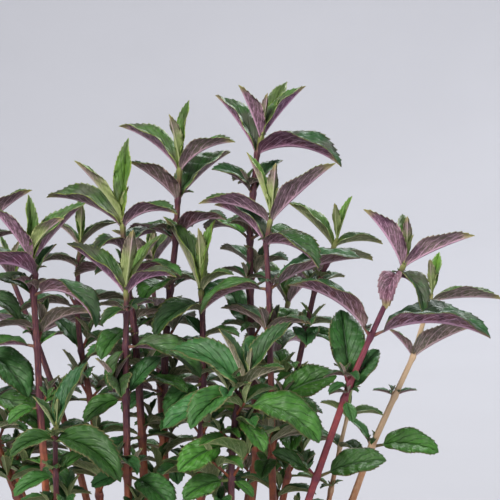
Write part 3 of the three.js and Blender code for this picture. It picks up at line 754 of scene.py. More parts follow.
# %% Habit
WIDTHS = [0.28, 0.42, 0.47, 0.52, 0.56, 0.58]
PETIOLES = [0, 0, 0, 0.1, 0.16, 0.2]
FOLDS = [22, 40, 38, 30, 22, 16]
BASE_TAPERS = [0.95, 0.9, 0.75, 0.65, 0.6, 0.6]
TIP_TAPER = 0.95


def by_pair(row, pairs):
    """The trait of a leaf with so many pairs above it. The last one serves all lower leaves."""
    return row[min(pairs, len(row) - 1)]


def profile(u, base_taper, tip_taper=TIP_TAPER):
    """Half the blade's width at a share of its length, 1 at the widest place."""
    widest = base_taper / (base_taper + tip_taper)
    return (u / widest) ** base_taper * ((1 - u) / (1 - widest)) ** tip_taper


def habit(shape, pairs):
    """Petiole as a share, blade's half width, fold and base taper of a leaf."""
    petiole = by_pair(PETIOLES, pairs)
    half = by_pair(WIDTHS, pairs) * shape.length * (1 - petiole) / 2
    return petiole, half, radians(by_pair(FOLDS, pairs)), by_pair(BASE_TAPERS, pairs)


print("half width of a leaf of 40 mm, 2 pairs down:", round(habit(example, 2)[1], 1), "mm")

# %% [markdown]
# ### Growing as the plain leaves did
#
# On a real plant, a leaf that meets another turns aside. The plain leaves did the same: each took
# the first stance of a short list that kept it clear. Testing that again would be slow here, and
# it isn't needed. The finished plain leaf is in the frame, so a fine leaf tries the stances and
# keeps the one whose outline points are found among the corners of its shoot's node.

# %% Stance
ASIDE = [
    # swing and lift in degrees, share of the length
    (0, 0, 1), (14, 0, 1), (-14, 0, 1), (0, 14, 1), (0, -14, 1), (24, 10, 1), (-24, 10, 1),
    (24, -10, 1), (-24, -10, 1), (38, 0, 1), (-38, 0, 1), (0, 28, 1), (0, -28, 1),
    (0, 0, 0.8), (30, 22, 0.8), (-30, 22, 0.8), (30, -22, 0.8), (-30, -22, 0.8),
    (55, 8, 0.8), (-55, 8, 0.8), (0, 36, 0.7), (0, -36, 0.7), (60, 30, 0.6), (-60, 30, 0.6),
]
FIRST_EDGES = [(22, 0.22), (34, 0.16), (46, 0.13), (99, 0.12)]  # by length: the first edge points
FOUND_WITHIN = 0.05


def outline_points(root, heading, shape, pairs):
    """The tip of the plain leaf and its two edge points nearest to the stem."""
    petiole, half, fold, base_taper = habit(shape, pairs)
    u = next(edge for length, edge in FIRST_EDGES if shape.length < length)
    shares = np.array([petiole + (1 - petiole) * u, 1.0])
    place, _, side, face = midrib(root, heading, shape, shares)
    reach = half * profile(u, base_taper)
    rise = place[0] + face[0] * reach * sin(fold)
    return [place[1], rise + side[0] * reach * cos(fold), rise - side[0] * reach * cos(fold)]


def stance_of(root, heading, shape, pairs, corners):
    """The heading and shape that the plain leaf took, or None if it never grew."""
    best, most = None, 0
    for swing, lift, share in ASIDE:
        turned = shape._replace(length=shape.length * share, rise=shape.rise + lift)
        points = outline_points(root, heading + swing, turned, pairs)
        found = sum(corners.find(point)[2] < FOUND_WITHIN for point in points)
        if found > most:
            best, most = (heading + swing, turned), found
    return best


def grown_leaves(plan):
    """A shoot's leaves in their stances, as (heading, shape, root, pairs above)."""
    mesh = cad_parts[plan.name].data
    corners = kdtree.KDTree(len(mesh.vertices))
    for i, vertex in enumerate(mesh.vertices):
        corners.insert(vertex.co / MM, i)
    corners.balance()
    grown = []
    for shape, root, pairs, heading in leaves_of(plan):
        stance = stance_of(root, heading, shape, pairs, corners)
        if stance:
            grown.append((*stance, root, pairs))
    return grown


grown = {plan.name: grown_leaves(plan) for plan in plans}
print("leaves found in the frame:", {name: len(leaves) for name, leaves in grown.items()})

# %% [markdown]
# ## A fine leaf
#
# A real blade is a thin, quilted sheet. The ribs leave the midrib at a slant and run forwards to
# the toothed edge. Between them the blade bulges upwards, and below it the midrib stands out as a
# ridge. One could sculpt a leaf and copy it, but then all leaves would be alike, and none would
# fit its place. So each blade is skinned here row by row along its own midrib. A row is a closed
# ring: over the upper face from edge to edge, and back below. Near the stem the same rings are
# small and round, and make the stalk.

# %% Rows and columns of a blade
FINE_COLUMNS = [0, 0.05, 0.13, 0.27, 0.45, 0.64, 0.83, 1]
BASE_ROWS = [0.0, 0.025, 0.06]
LAST_ROWS = [0.98, 1.0]
STALK_ROWS = np.array([0.0, 0.35, 0.7])
TOOTH_EVERY = 3.0
TOOTH_STEPS = [0.0, 0.78]
TEETH_FROM, TEETH_TO = 0.1, 0.95


def tooth_count(length):
    return int(np.clip(round(length / TOOTH_EVERY), 3, 15))


def blade_rows(length):
    """Shares of the blade's length with a row of points, two to each tooth."""
    teeth = tooth_count(length)
    pitch = (TEETH_TO - TEETH_FROM) / teeth
    rows = [TEETH_FROM + pitch * (i + step) for i in range(teeth) for step in TOOTH_STEPS]
    return np.array([*BASE_ROWS, *rows, TEETH_TO, *LAST_ROWS])


def rows_along(shape, petiole):
    """Shares of the blade, which are below 0 on the stalk, and shares of the whole leaf."""
    u = blade_rows(shape.length)
    stalk = STALK_ROWS if petiole else np.array([])
    shares = np.concatenate([stalk * petiole, petiole + (1 - petiole) * u])
    return np.concatenate([(stalk - 1) * 0.1, u])[:, None], shares


def columns_round(columns):
    """Shares across, from edge to edge above and back below, and which of them lie below."""
    half_row = np.array(columns)
    row = np.concatenate([half_row[::-1], -half_row[1:]])
    v = np.concatenate([row, row[::-1]])[None, :]
    return v, (np.arange(v.size) >= v.size // 2)[None, :]


print("rows on a blade of 40 mm:", len(blade_rows(40)))
print("points in a row:", columns_round(FINE_COLUMNS)[0].size)

# %% [markdown]
# ### Relief of the blade
#
# All relief is counted from the same two numbers that the colours will use: the share along the
# blade and the share across it, from -1 to 1. The ribs' slant is written here once and repeated in
# the shader, so that the painted ribs lie in the valleys of the mesh.

# %% Ribs and the pads between them
RIB_SLANT = 0.4
RIB_CURVE = -0.25


def smooth(value, start, end):
    share = np.clip((value - start) / (end - start), 0, 1)
    return share * share * (3 - 2 * share)


def rib_pairs(length):
    return int(np.clip(3 + round(length / 18), 3, 6))


def rib_phase(u, v, pairs):
    """A whole number on each side rib."""
    across = np.abs(v)
    return pairs * (u - RIB_SLANT * across + RIB_CURVE * across**2)


def quilting(u, v, pairs):
    """0 on the ribs and 1 on the pads between them."""
    across = np.abs(v)
    between = np.abs((rib_phase(u, v, pairs) + 0.5) % 1 - 0.5) * 2
    pads = smooth(between, 0, 0.9) * smooth(across, 0.02, 0.25) * (1 - smooth(across, 0.8, 1.0))
    return pads * smooth(u, 0.02, 0.15) * (1 - smooth(u, 0.85, 1.0))


print("side ribs on a leaf of 40 mm:", rib_pairs(40), "pairs")

# %% Teeth, and the arc across the blade
TOOTH_RISE = 0.78
BEFORE_END = 0.9999


def tooth_wave(u, length):
    """0 in a notch and 1 at the point of a tooth, which leans towards the tip of the leaf."""
    toothed = np.clip((u - TEETH_FROM) / (TEETH_TO - TEETH_FROM), 0, BEFORE_END)
    step = toothed * tooth_count(length) % 1
    return np.where(step < TOOTH_RISE, (step / TOOTH_RISE) ** 0.8, (1 - step) / (1 - TOOTH_RISE))


def arc_across(reach, fold, curl):
    """How far out and how high a half blade comes at shares across it, and its slope there."""
    start, bend = fold * (1 + curl), 2 * curl * fold + BARELY
    return lambda across: (
        reach * (np.sin(start) - np.sin(start - bend * across)) / bend,
        reach * (np.cos(start - bend * across) - np.cos(start)) / bend,
        start - bend * across,
    )


edge_out, edge_high, _ = arc_across(10.0, radians(30), 0.5)(1.0)
print("edge of a half blade of 10 mm:", round(edge_out, 1), "out,", round(edge_high, 1), "high")

# %% [markdown]
# ### Skinning it
#
# The rings carry two sets of numbers for the shader: where a point lies on the blade, and what
# the leaf as a whole is like, which is its age, its tone and how much purple it has taken on.

# %% Measures of the skin
WIDENINGS = [1.1, 1.08, 1.08, 1.12, 1.15, 1.15]
TIP_TAPERS = [0.95, 0.95, 0.9, 0.8, 0.74, 0.72]
TOOTH_DEPTHS = [0.05, 0.075, 0.07, 0.05, 0.035, 0.03]
CURLS = [0.2, 0.3, 0.4, 0.7, 1.0, 1.1]
BUD_FOLD = radians(42)
FOLD_AT_FOOT, FOLD_LOST = 1.12, 0.24
TOOTH_MIDDLE, LEAN_MIDDLE = 0.45, 0.3
TOOTH_LEAN = 0.3
TIP_HALF = 0.12
FULL_LENGTH = 30
QUILT = 0.024
EDGE_WAVE, EDGE_WAVES, WAVE_SHIFT = 0.018, 2.2, 1.4
BLADE_HALF_THICK, EDGE_HALF_THICK = 0.2, 0.07
MIDRIB_HALF, MIDRIB_THINNING, MIDRIB_DEPTH, GROOVE = 0.5, 0.75, 1.3, 0.28
STALK_HALF, STALK_HALF_END, SMALLEST_STALK = 0.95, 0.7, 0.35
TWIST, MOST_TWIST = radians(9), 0.4


def stalk_thickness(shares, petiole, size):
    """Half the thickness of the stalk, which thins towards the blade."""
    half = STALK_HALF + (STALK_HALF_END - STALK_HALF) * shares / max(petiole, 0.1)
    young = SMALLEST_STALK + (1 - SMALLEST_STALK) * size
    return np.clip(half[:, None], STALK_HALF_END, STALK_HALF) * young


print("thickness of a blade:", 2 * BLADE_HALF_THICK, "mm")

# %% Build the points of one leaf
def skin_leaf(root, heading, shape, pairs, variety, columns):
    """Rings of points of one leaf in mm, and its (u, v, rib pairs) at each point."""
    petiole, widest, fold, base_taper = habit(shape, pairs)
    widest = widest * by_pair(WIDENINGS, pairs)
    u, shares = rows_along(shape, petiole)
    v, below = columns_round(columns)
    across, sign = np.abs(v), np.sign(v)
    size = min(1.0, shape.length / FULL_LENGTH)

    # The outline: half the width of each row, and the teeth on its edge.
    blade = smooth(u, -0.01, 0.08)
    inside = np.clip(u, BARELY, 1)
    window = smooth(inside, TEETH_FROM - 0.02, TEETH_FROM + 0.12) * (1 - smooth(inside, 0.9, 1))
    teeth = tooth_wave(inside, shape.length)
    tip_taper = by_pair(TIP_TAPERS, pairs)
    reach = widest * profile(np.minimum(inside, BEFORE_END), base_taper, tip_taper)
    depth = widest * by_pair(TOOTH_DEPTHS, pairs)
    tooth = depth * (teeth - TOOTH_MIDDLE) * window * smooth(across, 0.55, 1)
    stalk_half = stalk_thickness(shares, petiole, size)
    half = np.maximum(reach * blade, stalk_half * (1 - blade)) + TIP_HALF * smooth(u, 0.9, 1)

    # The section: each half is an arc, steep at the midrib and level or falling at the edge.
    opening = FOLD_AT_FOOT - FOLD_LOST * inside
    bent = (BUD_FOLD if pairs == 0 else fold) * blade * opening
    out, high, slope = arc_across(half, bent, by_pair(CURLS, pairs))(across)
    out, high = out + tooth * np.cos(slope), high + tooth * np.sin(slope)

    # The relief: pads, a wavy edge, the midrib's ridge below and its groove above.
    ribs = rib_pairs(shape.length)
    lift = QUILT * shape.length * quilting(inside, v, ribs) * blade
    wave = np.sin(2 * pi * (EDGE_WAVES * inside + variety[0]) + sign * WAVE_SHIFT)
    lift = lift + wave * EDGE_WAVE * shape.length * across**2 * window
    rib_half = MIDRIB_HALF * size * (1 - MIDRIB_THINNING * inside)
    ridge = np.exp(-((half * across / rib_half) ** 2)) * blade
    thick = (BLADE_HALF_THICK + (EDGE_HALF_THICK - BLADE_HALF_THICK) * across**2) * size
    round_stalk = stalk_half * np.sqrt(np.maximum(0, 1 - across**2)) * (1 - blade)
    upper = lift + thick * blade - GROOVE * size * ridge * (1 - inside) + round_stalk
    lower = lift - thick * blade - MIDRIB_DEPTH * rib_half * ridge - round_stalk
    offset = np.where(below, lower, upper)

    # The place: along the midrib's arc, with a slight twist on the way.
    lean = TOOTH_LEAN * (teeth - LEAN_MIDDLE) * window * smooth(across, 0.6, 1)
    lean = lean / tooth_count(shape.length) * shape.length
    place, along, side, face = midrib(root, heading, shape, shares)
    twist = variety[1] * TWIST * (shares - petiole)
    twist = twist.clip(-MOST_TWIST, MOST_TWIST)[:, None]
    twist_cos, twist_sin = np.cos(twist), np.sin(twist)
    side, face = side * twist_cos + face * twist_sin, face * twist_cos - side * twist_sin
    sideways = out * sign - offset * np.sin(slope) * sign
    upwards = high + offset * np.cos(slope)
    points = (
        (place[:, None] + along[:, None] * lean[..., None])
        + side[:, None] * sideways[..., None]
        + face[:, None] * upwards[..., None]
    )
    return points, np.stack(np.broadcast_arrays(u, v, float(ribs)), -1)


trial, _ = skin_leaf(np.zeros(3), 0, example, 2, (0.2, 0.1), FINE_COLUMNS)
print("rings:", trial.shape[0], "points in a ring:", trial.shape[1])

# %% [markdown]
# ### Collecting a shoot
#
# A shoot is one piece, because its leaves and stem are one growth. Its rings are gathered into one
# list of points and quads, with a finish for each quad, and made a mesh in one step at the end.

# %% A gatherer for rings
class Growth:
    """Points, quads, finishes and the shader's numbers of one piece.

    The second half of each ring starts its quads one point later. Blender splits a quad from its
    first point, so both faces of a thin blade are split along the same line and never cross.
    """

    def __init__(self):
        self.points, self.quads, self.finishes = [], [], []
        self.blades, self.growths = [], []
        self.count = 0

    def add(self, rings, on_blade, growth, finish_of_column):
        rows, columns = rings.shape[:2]
        row, column = np.meshgrid(np.arange(rows - 1), np.arange(columns), indexing="ij")
        here, after = row * columns + column, row * columns + (column + 1) % columns
        quads = np.stack([here, after, after + columns, here + columns], -1)
        quads[:, columns // 2:] = np.roll(quads[:, columns // 2:], -1, axis=-1)
        i = np.arange(columns // 2 - 1)
        start = np.stack([i + 1, i, columns - 1 - i, columns - 2 - i], -1)
        end = start[:, ::-1] + (rows - 1) * columns
        ends = np.full(2 * len(i), finish_of_column[0])
        self.points.append(rings.reshape(-1, 3))
        self.quads.append(np.concatenate([quads.reshape(-1, 4), start, end]) + self.count)
        self.finishes.append(np.concatenate([np.tile(finish_of_column, rows - 1), ends]))
        self.blades.append(np.broadcast_to(on_blade, rings.shape).reshape(-1, 3))
        self.growths.append(np.broadcast_to(growth, rings.shape).reshape(-1, 3))
        self.count += rows * columns

    def make(self, name, materials):
        made = new_object(
            name, np.concatenate(self.points) * MM, np.concatenate(self.quads), materials
        )
        mesh = made.data
        mesh.polygons.foreach_set("material_index", np.concatenate(self.finishes).astype(np.int32))
        for label, rows in (("blade", self.blades), ("growth", self.growths)):
            layer = mesh.attributes.new(label, "FLOAT_VECTOR", "POINT")
            layer.data.foreach_set("vector", np.concatenate(rows).astype(np.float32).ravel())
        return made


UPPER, LOWER, STEM = 0, 1, 2


def leaf_finishes(columns):
    """The upper face's finish on the first half of a ring and on both rims, then the lower's."""
    half = columns // 2
    return np.array([UPPER] * half + [LOWER] * (half - 1) + [UPPER])


print("finishes on a ring:", leaf_finishes(trial.shape[1]))

# %% [markdown]
# ## Ribs for both faces of the leaf
#
# The upper face shows the ribs as fine valleys and the lower face as a raised, paler net. Both come
# from one group that reads the numbers on the blade, so a rib is in the same place on both faces
# and in the mesh. Between the ribs, a net of tiny veins divides the blade into pads. The group
# gives masks and a height, and each finish mixes its own colours with them.

# %% Leaf ribs
RIBS, socket_in, socket_out = new_group(
    "Leaf ribs", {"Rib Width": 0.1, "Net Scale": 1.0}, ["Ribs", "Net", "Pads", "Edge", "Height"]
)
along, side_number, rib_count = split(RIBS, drawn(RIBS, "blade"))
across = calculate(RIBS, "ABSOLUTE", side_number)
slanted = calculate(
    RIBS, "MULTIPLY_ADD", times(RIBS, across, across), RIB_CURVE,
    calculate(RIBS, "MULTIPLY_ADD", across, -RIB_SLANT, along),
)
wandering = calculate(RIBS, "SUBTRACT", cloud(RIBS, place_of(RIBS), 130.0), 0.5)
phase = calculate(RIBS, "MULTIPLY_ADD", wandering, 0.14, times(RIBS, slanted, rib_count))
from_rib = calculate(RIBS, "PINGPONG", phase, 0.5)
side_ribs = times(
    RIBS, fade(RIBS, from_rib, 0.0, socket_in["Rib Width"], 1.0, 0.0),
    times(
        RIBS, fade(RIBS, across, 0.5, 1.0, 1.0, 0.25),
        fade(RIBS, cloud(RIBS, place_of(RIBS), 420.0), 0.36, 0.6, 0.45, 1.0),
    ),
)
midrib_from, midrib_to = (times(RIBS, socket_in["Rib Width"], share) for share in (0.3, 0.9))
midrib_line = fade(RIBS, across, midrib_from, midrib_to, 1.0, 0.0)
ribs = calculate(RIBS, "MAXIMUM", side_ribs, midrib_line)
print("side ribs follow the slant", RIB_SLANT, "and the curve", RIB_CURVE)

# %% The net between the ribs
_, tone, _ = split(RIBS, drawn(RIBS, "growth"))
net_place = RIBS.nodes.new("ShaderNodeCombineXYZ")
for i, (value, factor) in enumerate(((phase, 3.6), (side_number, 5.0), (tone, 37.0))):
    plug(RIBS, times(RIBS, value, factor), net_place.inputs[i])
ruffle = RIBS.nodes.new("ShaderNodeTexNoise")
plug(RIBS, net_place.outputs[0], ruffle.inputs["Vector"])
ruffle.inputs["Scale"].default_value = 1.3
wavering = RIBS.nodes.new("ShaderNodeVectorMath")
wavering.operation = "MULTIPLY_ADD"
for i, value in enumerate((ruffle.outputs["Color"], (0.45, 0.45, 0.45), net_place.outputs[0])):
    plug(RIBS, value, wavering.inputs[i])
to_net = cells(RIBS, wavering.outputs[0], socket_in["Net Scale"])
pads = fade(RIBS, to_net, 0.02, 0.45)
give_out(
    RIBS, socket_out, Ribs=ribs, Net=fade(RIBS, to_net, 0.0, 0.16, 1.0, 0.0), Pads=pads,
    Edge=fade(RIBS, across, 0.9, 1.0),
    Height=calculate(RIBS, "MULTIPLY_ADD", pads, 0.4, times(RIBS, ribs, -0.9)),
)
print("nodes in the rib group:", len(RIBS.nodes))

# %% [markdown]
# ## Colour by age
#
# Chocolate mint is bright yellow-green where it is youngest, dark green on the leaves below the
# tip, and a fresher mid green on the old, shaded ones. The same three steps serve both faces with
# different paints. A leaf's own tone then shifts it, since no two leaves match.

# %% Age colour
AGE, socket_in, socket_out = new_group(
    "Age colour", {"Young": GREY, "Grown": GREY, "Old": GREY, "Cool": GREY, "Variety": 0.35},
    ["Color"],
)
age, tone, _ = split(AGE, drawn(AGE, "growth"))
chance = calculate(AGE, "FRACT", times(AGE, tone, 7.3))
cool_share = times(AGE, fade(AGE, chance, 0.3, 1.0, 0.0, 0.6), fade(AGE, age, 0.1, 0.3))
colour = layered(
    AGE, socket_in["Young"],
    (fade(AGE, age, 0.0, 0.3), socket_in["Grown"]),
    (fade(AGE, age, 0.35, 0.75), socket_in["Old"]),
    (cool_share, socket_in["Cool"]),
)
brightened = AGE.nodes.new("ShaderNodeVectorMath")
brightened.operation = "SCALE"
plug(AGE, colour, brightened.inputs[0])
from_middle = calculate(AGE, "SUBTRACT", tone, 0.5)
brightness = calculate(AGE, "MULTIPLY_ADD", from_middle, socket_in["Variety"], 1.0)
plug(AGE, brightness, brightened.inputs["Scale"])
give_out(AGE, socket_out, Color=brightened.outputs[0])
print("nodes in the age group:", len(AGE.nodes))

# %% [markdown]
# ## Upper face
#
# The upper face is satiny. Its ribs are furrows, and painted shade darkens them and the fine net
# between them, while the middles of the pads get a painted highlight. The edge is a thin line that
# is lime on young leaves and tan on old ones, and a purple breath lies over the leaves near the
# tips. Light glances off the pads, so the relief matters as much as the colour.

# %% Upper face of the leaf
def with_stalk(tree, colour, along, flush, reddened):
    """Lays the stalk over the blade's foot: green, or reddened where the leaf has taken purple."""
    stalk = mix(tree, times(tree, flush, 0.9), paint(104, 132, 62), reddened)
    return mix(tree, fade(tree, along, -0.03, 0.04, 1.0, 0.0), colour, stalk)


UPPER_FACE, tree, shader = new_material("leaf_upper_face")
along = split(tree, drawn(tree, "blade"))[0]
age, _, flush = split(tree, drawn(tree, "growth"))
green = use(
    tree, AGE,
    Young=paint(86, 122, 42), Grown=paint(40, 77, 26), Old=paint(58, 110, 30),
    Cool=paint(36, 92, 58), Variety=0.65,
)
veins = use(tree, RIBS, Rib_Width=0.17, Net_Scale=1.0)
mottled = use(
    tree, MOTTLE, Color=green["Color"], Shade=paint(30, 64, 28), Scale=110.0, Amount=0.4
)
# Painted highlight: the middles of the pads, the high places of the relief, are painted lighter, as
# where light catches the bulges.
pad_highlight = times(tree, veins["Pads"], fade(tree, age, 0.0, 0.5, 0.1, 0.26))
at_base = times(
    tree, fade(tree, along, 0.0, 0.3, 0.8, 0.0), fade(tree, age, 0.1, 0.35, 1.0, 0.0)
)
breath = times(
    tree, flush, fade(tree, age, 0.3, 0.8, 0.5, 0.08),
    fade(tree, cloud(tree, place_of(tree), 85.0), 0.42, 0.62),
)
edge_colour = mix(tree, fade(tree, age, 0.1, 0.6), paint(158, 172, 78), paint(130, 112, 76))
colour = layered(
    tree, mottled["Color"],
    # Painted highlight on the middles of the pads.
    (pad_highlight, paint(98, 138, 68)),
    # Painted shade: the fine net and the ribs are painted darker, as shade lying in their furrows.
    (times(tree, veins["Net"], 0.1), paint(26, 56, 18)),
    (times(tree, veins["Ribs"], 0.62), paint(20, 50, 16)),
    (at_base, paint(150, 168, 72)),
    (breath, paint(78, 58, 66)),
    (times(tree, veins["Edge"], 0.65), edge_colour),
)
colour = with_stalk(tree, colour, along, flush, paint(124, 62, 66))
coat(tree, shader, colour, fade(tree, veins["Pads"], 0.0, 1.0, 0.54, 0.35), 0.4)
raise_surface(tree, shader, veins["Height"], 0.0004, 0.7)
print(UPPER_FACE.name, "nodes:", len(tree.nodes))

# %% [markdown]
# ## Lower face
#
# The lower face gives this mint its name and its look: dark mauve pads in a raised net of paler,
# rosy ribs. The youngest leaves are lime where they leave the bud, and the old, shaded ones stay
# mostly green. So the mauve is laid over the age colours, by the purple that the leaf has taken
# on, and it fades towards the base of a young leaf.

# %% Lower face of the leaf
LOWER_FACE, tree, shader = new_material("leaf_lower_face")
along = split(tree, drawn(tree, "blade"))[0]
age, _, flush = split(tree, drawn(tree, "growth"))
pale = use(
    tree, AGE,
    Young=paint(138, 156, 88), Grown=paint(98, 122, 70), Old=paint(82, 120, 56),
    Cool=paint(92, 116, 84), Variety=0.35,
)
veins = use(tree, RIBS, Rib_Width=0.13, Net_Scale=1.25)
pad_colour = mix(tree, fade(tree, age, 0.1, 0.5), paint(98, 54, 86), paint(106, 52, 68))
mauve = use(tree, MOTTLE, Color=pad_colour, Shade=paint(64, 34, 56), Scale=150.0, Amount=0.8)
from_base = calculate(
    tree, "MULTIPLY_ADD", fade(tree, age, 0.0, 0.14, 0.75, 0.0), -1.0,
    fade(tree, along, 0.0, 0.3, 0.92, 1.0),
)
purple = times(
    tree, flush, calculate(tree, "MAXIMUM", from_base, fade(tree, along, 0.3, 0.8))
)
patchy = fade(tree, cloud(tree, place_of(tree), 60.0), 0.3, 0.6, 0.78, 1.0)
rib_colour = mix(tree, purple, paint(162, 180, 112), paint(206, 158, 188))
edge_colour = mix(tree, purple, paint(140, 146, 80), paint(168, 128, 132))
tip_share = times(tree, fade(tree, along, 0.8, 0.96), fade(tree, age, 0.2, 0.7, 0.8, 0.3))
colour = layered(
    tree, pale["Color"],
    (times(tree, purple, patchy), mauve["Color"]),
    (times(tree, veins["Net"], 0.36), rib_colour),
    (times(tree, veins["Ribs"], 0.8), rib_colour),
    (times(tree, veins["Edge"], 0.5), edge_colour),
    (tip_share, paint(158, 150, 88)),
)
colour = with_stalk(tree, colour, along, flush, paint(134, 70, 74))
coat(tree, shader, colour, fade(tree, veins["Pads"], 0.0, 1.0, 0.5, 0.62), 0.35)
raise_surface(tree, shader, times(tree, veins["Height"], -1.0), 0.0004, 0.6)
print(LOWER_FACE.name, "nodes:", len(tree.nodes))

# %% [markdown]
# ## Stem skin
#
# The square stems are dark purple near the tips and turn red-brown below, with fine streaks along
# them and a darker ring at each knot. One shoot is crimson and one has hardly any purple. They are
# the same skin with other paints, so the skin is a group and the stems are three materials.

# %% Stem skin
STEM_SKIN, socket_in, socket_out = new_group(
    "Stem skin",
    {"Low": GREY, "High": GREY, "Streak": GREY, "Tip": GREY, "Turn From": 0.3, "Turn To": 0.75},
    ["Color", "Height"],
)
round_stem = drawn(STEM_SKIN, "blade")
up_share, tone, at_knot = split(STEM_SKIN, drawn(STEM_SKIN, "growth"))
from_middle = calculate(STEM_SKIN, "SUBTRACT", tone, 0.5)
own_share = calculate(STEM_SKIN, "MULTIPLY_ADD", from_middle, 0.26, up_share)
turned = fade(STEM_SKIN, own_share, socket_in["Turn From"], socket_in["Turn To"])
streaks = cloud(STEM_SKIN, stretched(STEM_SKIN, round_stem, (0.12, 5.0, 1.0)), 2.0, detail=5)
streaked = layered(
    STEM_SKIN, socket_in["Low"],
    (turned, socket_in["High"]),
    (fade(STEM_SKIN, streaks, 0.46, 0.7, 0.0, 0.6), socket_in["Streak"]),
)
mottled = use(
    STEM_SKIN, MOTTLE, Color=streaked, Shade=socket_in["High"], Scale=260.0, Amount=0.45
)
skin = layered(
    STEM_SKIN, mottled["Color"],
    (times(STEM_SKIN, at_knot, 0.5), socket_in["High"]),
    (fade(STEM_SKIN, up_share, 0.955, 0.99, 0.0, 0.7), socket_in["Tip"]),
)
fibres = cloud(STEM_SKIN, stretched(STEM_SKIN, round_stem, (0.2, 9.0, 1.0)), 3.0, detail=4)
give_out(STEM_SKIN, socket_out, Color=skin, Height=fibres)
print("nodes in the stem group:", len(STEM_SKIN.nodes))

# %% Its three paints
STEM_PAINTS = {
    # low, high and streak colours, and from where to where up the stem one turns into the other
    "stem_purple": (paint(152, 84, 54), paint(74, 38, 54), paint(178, 114, 82), 0.5, 0.68),
    "stem_crimson": (paint(140, 58, 60), paint(82, 36, 60), paint(166, 92, 98), 0.6, 0.85),
    "stem_pale": (paint(170, 104, 60), paint(204, 174, 140), paint(214, 186, 154), 0.55, 0.85),
}
STEMS = {}
for name, (low, high, streak, start, end) in STEM_PAINTS.items():
    STEMS[name], tree, shader = new_material(name)
    skin = use(
        tree, STEM_SKIN, Low=low, High=high, Streak=streak, Tip=paint(134, 146, 72),
        Turn_From=start, Turn_To=end,
    )
    coat(tree, shader, skin["Color"], 0.48, 0.4)
    raise_surface(tree, shader, skin["Height"], 0.00025, 0.5)
print("stem materials:", sorted(STEMS))

# %% [markdown]
# ## A fine stem
#
# A mint stem is square with rounded corners and a shallow groove down each flat, and it swells
# where leaves grow. A square curve profile would give the section but not the knots. Rings along
# the way from knot to knot give both, set closer where the swelling is.

# %% Rings of a stem
STEM_COLUMNS, SIDE_STEM_COLUMNS = 20, 8
SQUARENESS = 5.0
GROOVE_SHARE = 0.07
SWELLING, SWELLING_REACH = 0.3, 1.9
RING_EVERY = 11.0
NEAR_KNOT = np.array([0.0, 0.9, 1.8, 3.2])


def stem_section(columns):
    """Places round a stem, and how far out its grooved square reaches there."""
    angle = np.arange(columns) * 2 * pi / columns + pi / columns
    corner = np.abs(np.cos(angle)) ** SQUARENESS + np.abs(np.sin(angle)) ** SQUARENESS
    grooves = GROOVE_SHARE * np.clip(np.cos(4 * angle), 0, 1)
    return angle, corner ** (-1 / SQUARENESS) * (1 - grooves)


def ring_stops(length, columns):
    """Distances of the rings from one knot to the next. A side shoot's stem has no swelling."""
    spread = np.linspace(0, length, max(2, int(length / RING_EVERY)) + 1)
    near = np.concatenate([NEAR_KNOT, length - NEAR_KNOT])
    near = near[(near >= 0) & (near <= length) & (columns > SIDE_STEM_COLUMNS)]
    return np.unique(np.concatenate([spread, near]).round(3))


def stem_rings(path, halves, turn, columns):
    """Rings in mm, marks for the shader (distance, place round) and the distance and nearness.

    The path runs through the knots. Its two ends have no swelling.
    """
    angle, section = stem_section(columns)
    steps = np.diff(path, axis=0)
    lengths = np.linalg.norm(steps, axis=1)
    rings, marks, sizes = [], [], []
    for i, (step, length) in enumerate(zip(steps, lengths)):
        along = step / length
        flat = level_way(turn)
        flat = flat - along * (flat @ along)
        flat = flat / np.linalg.norm(flat)
        other = np.cross(along, flat)
        stops = ring_stops(length, columns)
        last = i == len(steps) - 1
        for stop in stops if last else stops[:-1]:
            half = halves[i] + (halves[i + 1] - halves[i]) * stop / length
            reach = min(stop if i > 0 else length, length - stop if not last else length)
            nearness = float(np.exp(-((reach / SWELLING_REACH) ** 2)))
            radius = (half * (1 + SWELLING * nearness) * section)[:, None]
            around = np.cos(angle)[:, None] * flat + np.sin(angle)[:, None] * other
            rings.append(path[i] + along * stop + radius * around)
            gone = lengths[:i].sum() + stop
            marks.append(np.stack([np.full(columns, gone), np.cos(angle), np.sin(angle)], -1))
            sizes.append([gone, nearness])
    return np.array(rings), np.array(marks), *np.array(sizes).T


print("rings in 30 mm between two knots:", len(ring_stops(30.0, STEM_COLUMNS)))

# %% The stem of a shoot
STEM_HALF_FOOT, STEM_HALF_TIP = 1.9, 0.9
ROOT_DEPTH = 25.0
SLENDER = {"shoot_thin_right": 0.72, "shoot_small_left": 0.8, "shoot_low_centre": 0.85}


def main_stem(plan):
    """Path and half thickness of a shoot's own stem."""
    places = places_of(plan)
    path = np.array([[*plan.foot, SOIL_LEVEL - ROOT_DEPTH], *places])
    order = np.arange(len(path)) - 1
    halves = np.interp(order, [0, len(places) - 1], [STEM_HALF_FOOT, STEM_HALF_TIP])
    return path, halves * SLENDER.get(plan.name, 1.0)


first_rings = stem_rings(*main_stem(plans[0]), 0.0, STEM_COLUMNS)[0]
print("rings of the first stem:", len(first_rings))

# %% [markdown]
# ## What grows in the axils
#
# In the corner above each leaf, the plant starts a side shoot. Near the tip it is a speck, and
# further down it has a short stem of its own with two small pairs of leaves. These make a mint
# look dense. They follow the large leaves' rules with coarser skins, for they are small. A row of
# draws decides their sizes, and leaves some of them out.

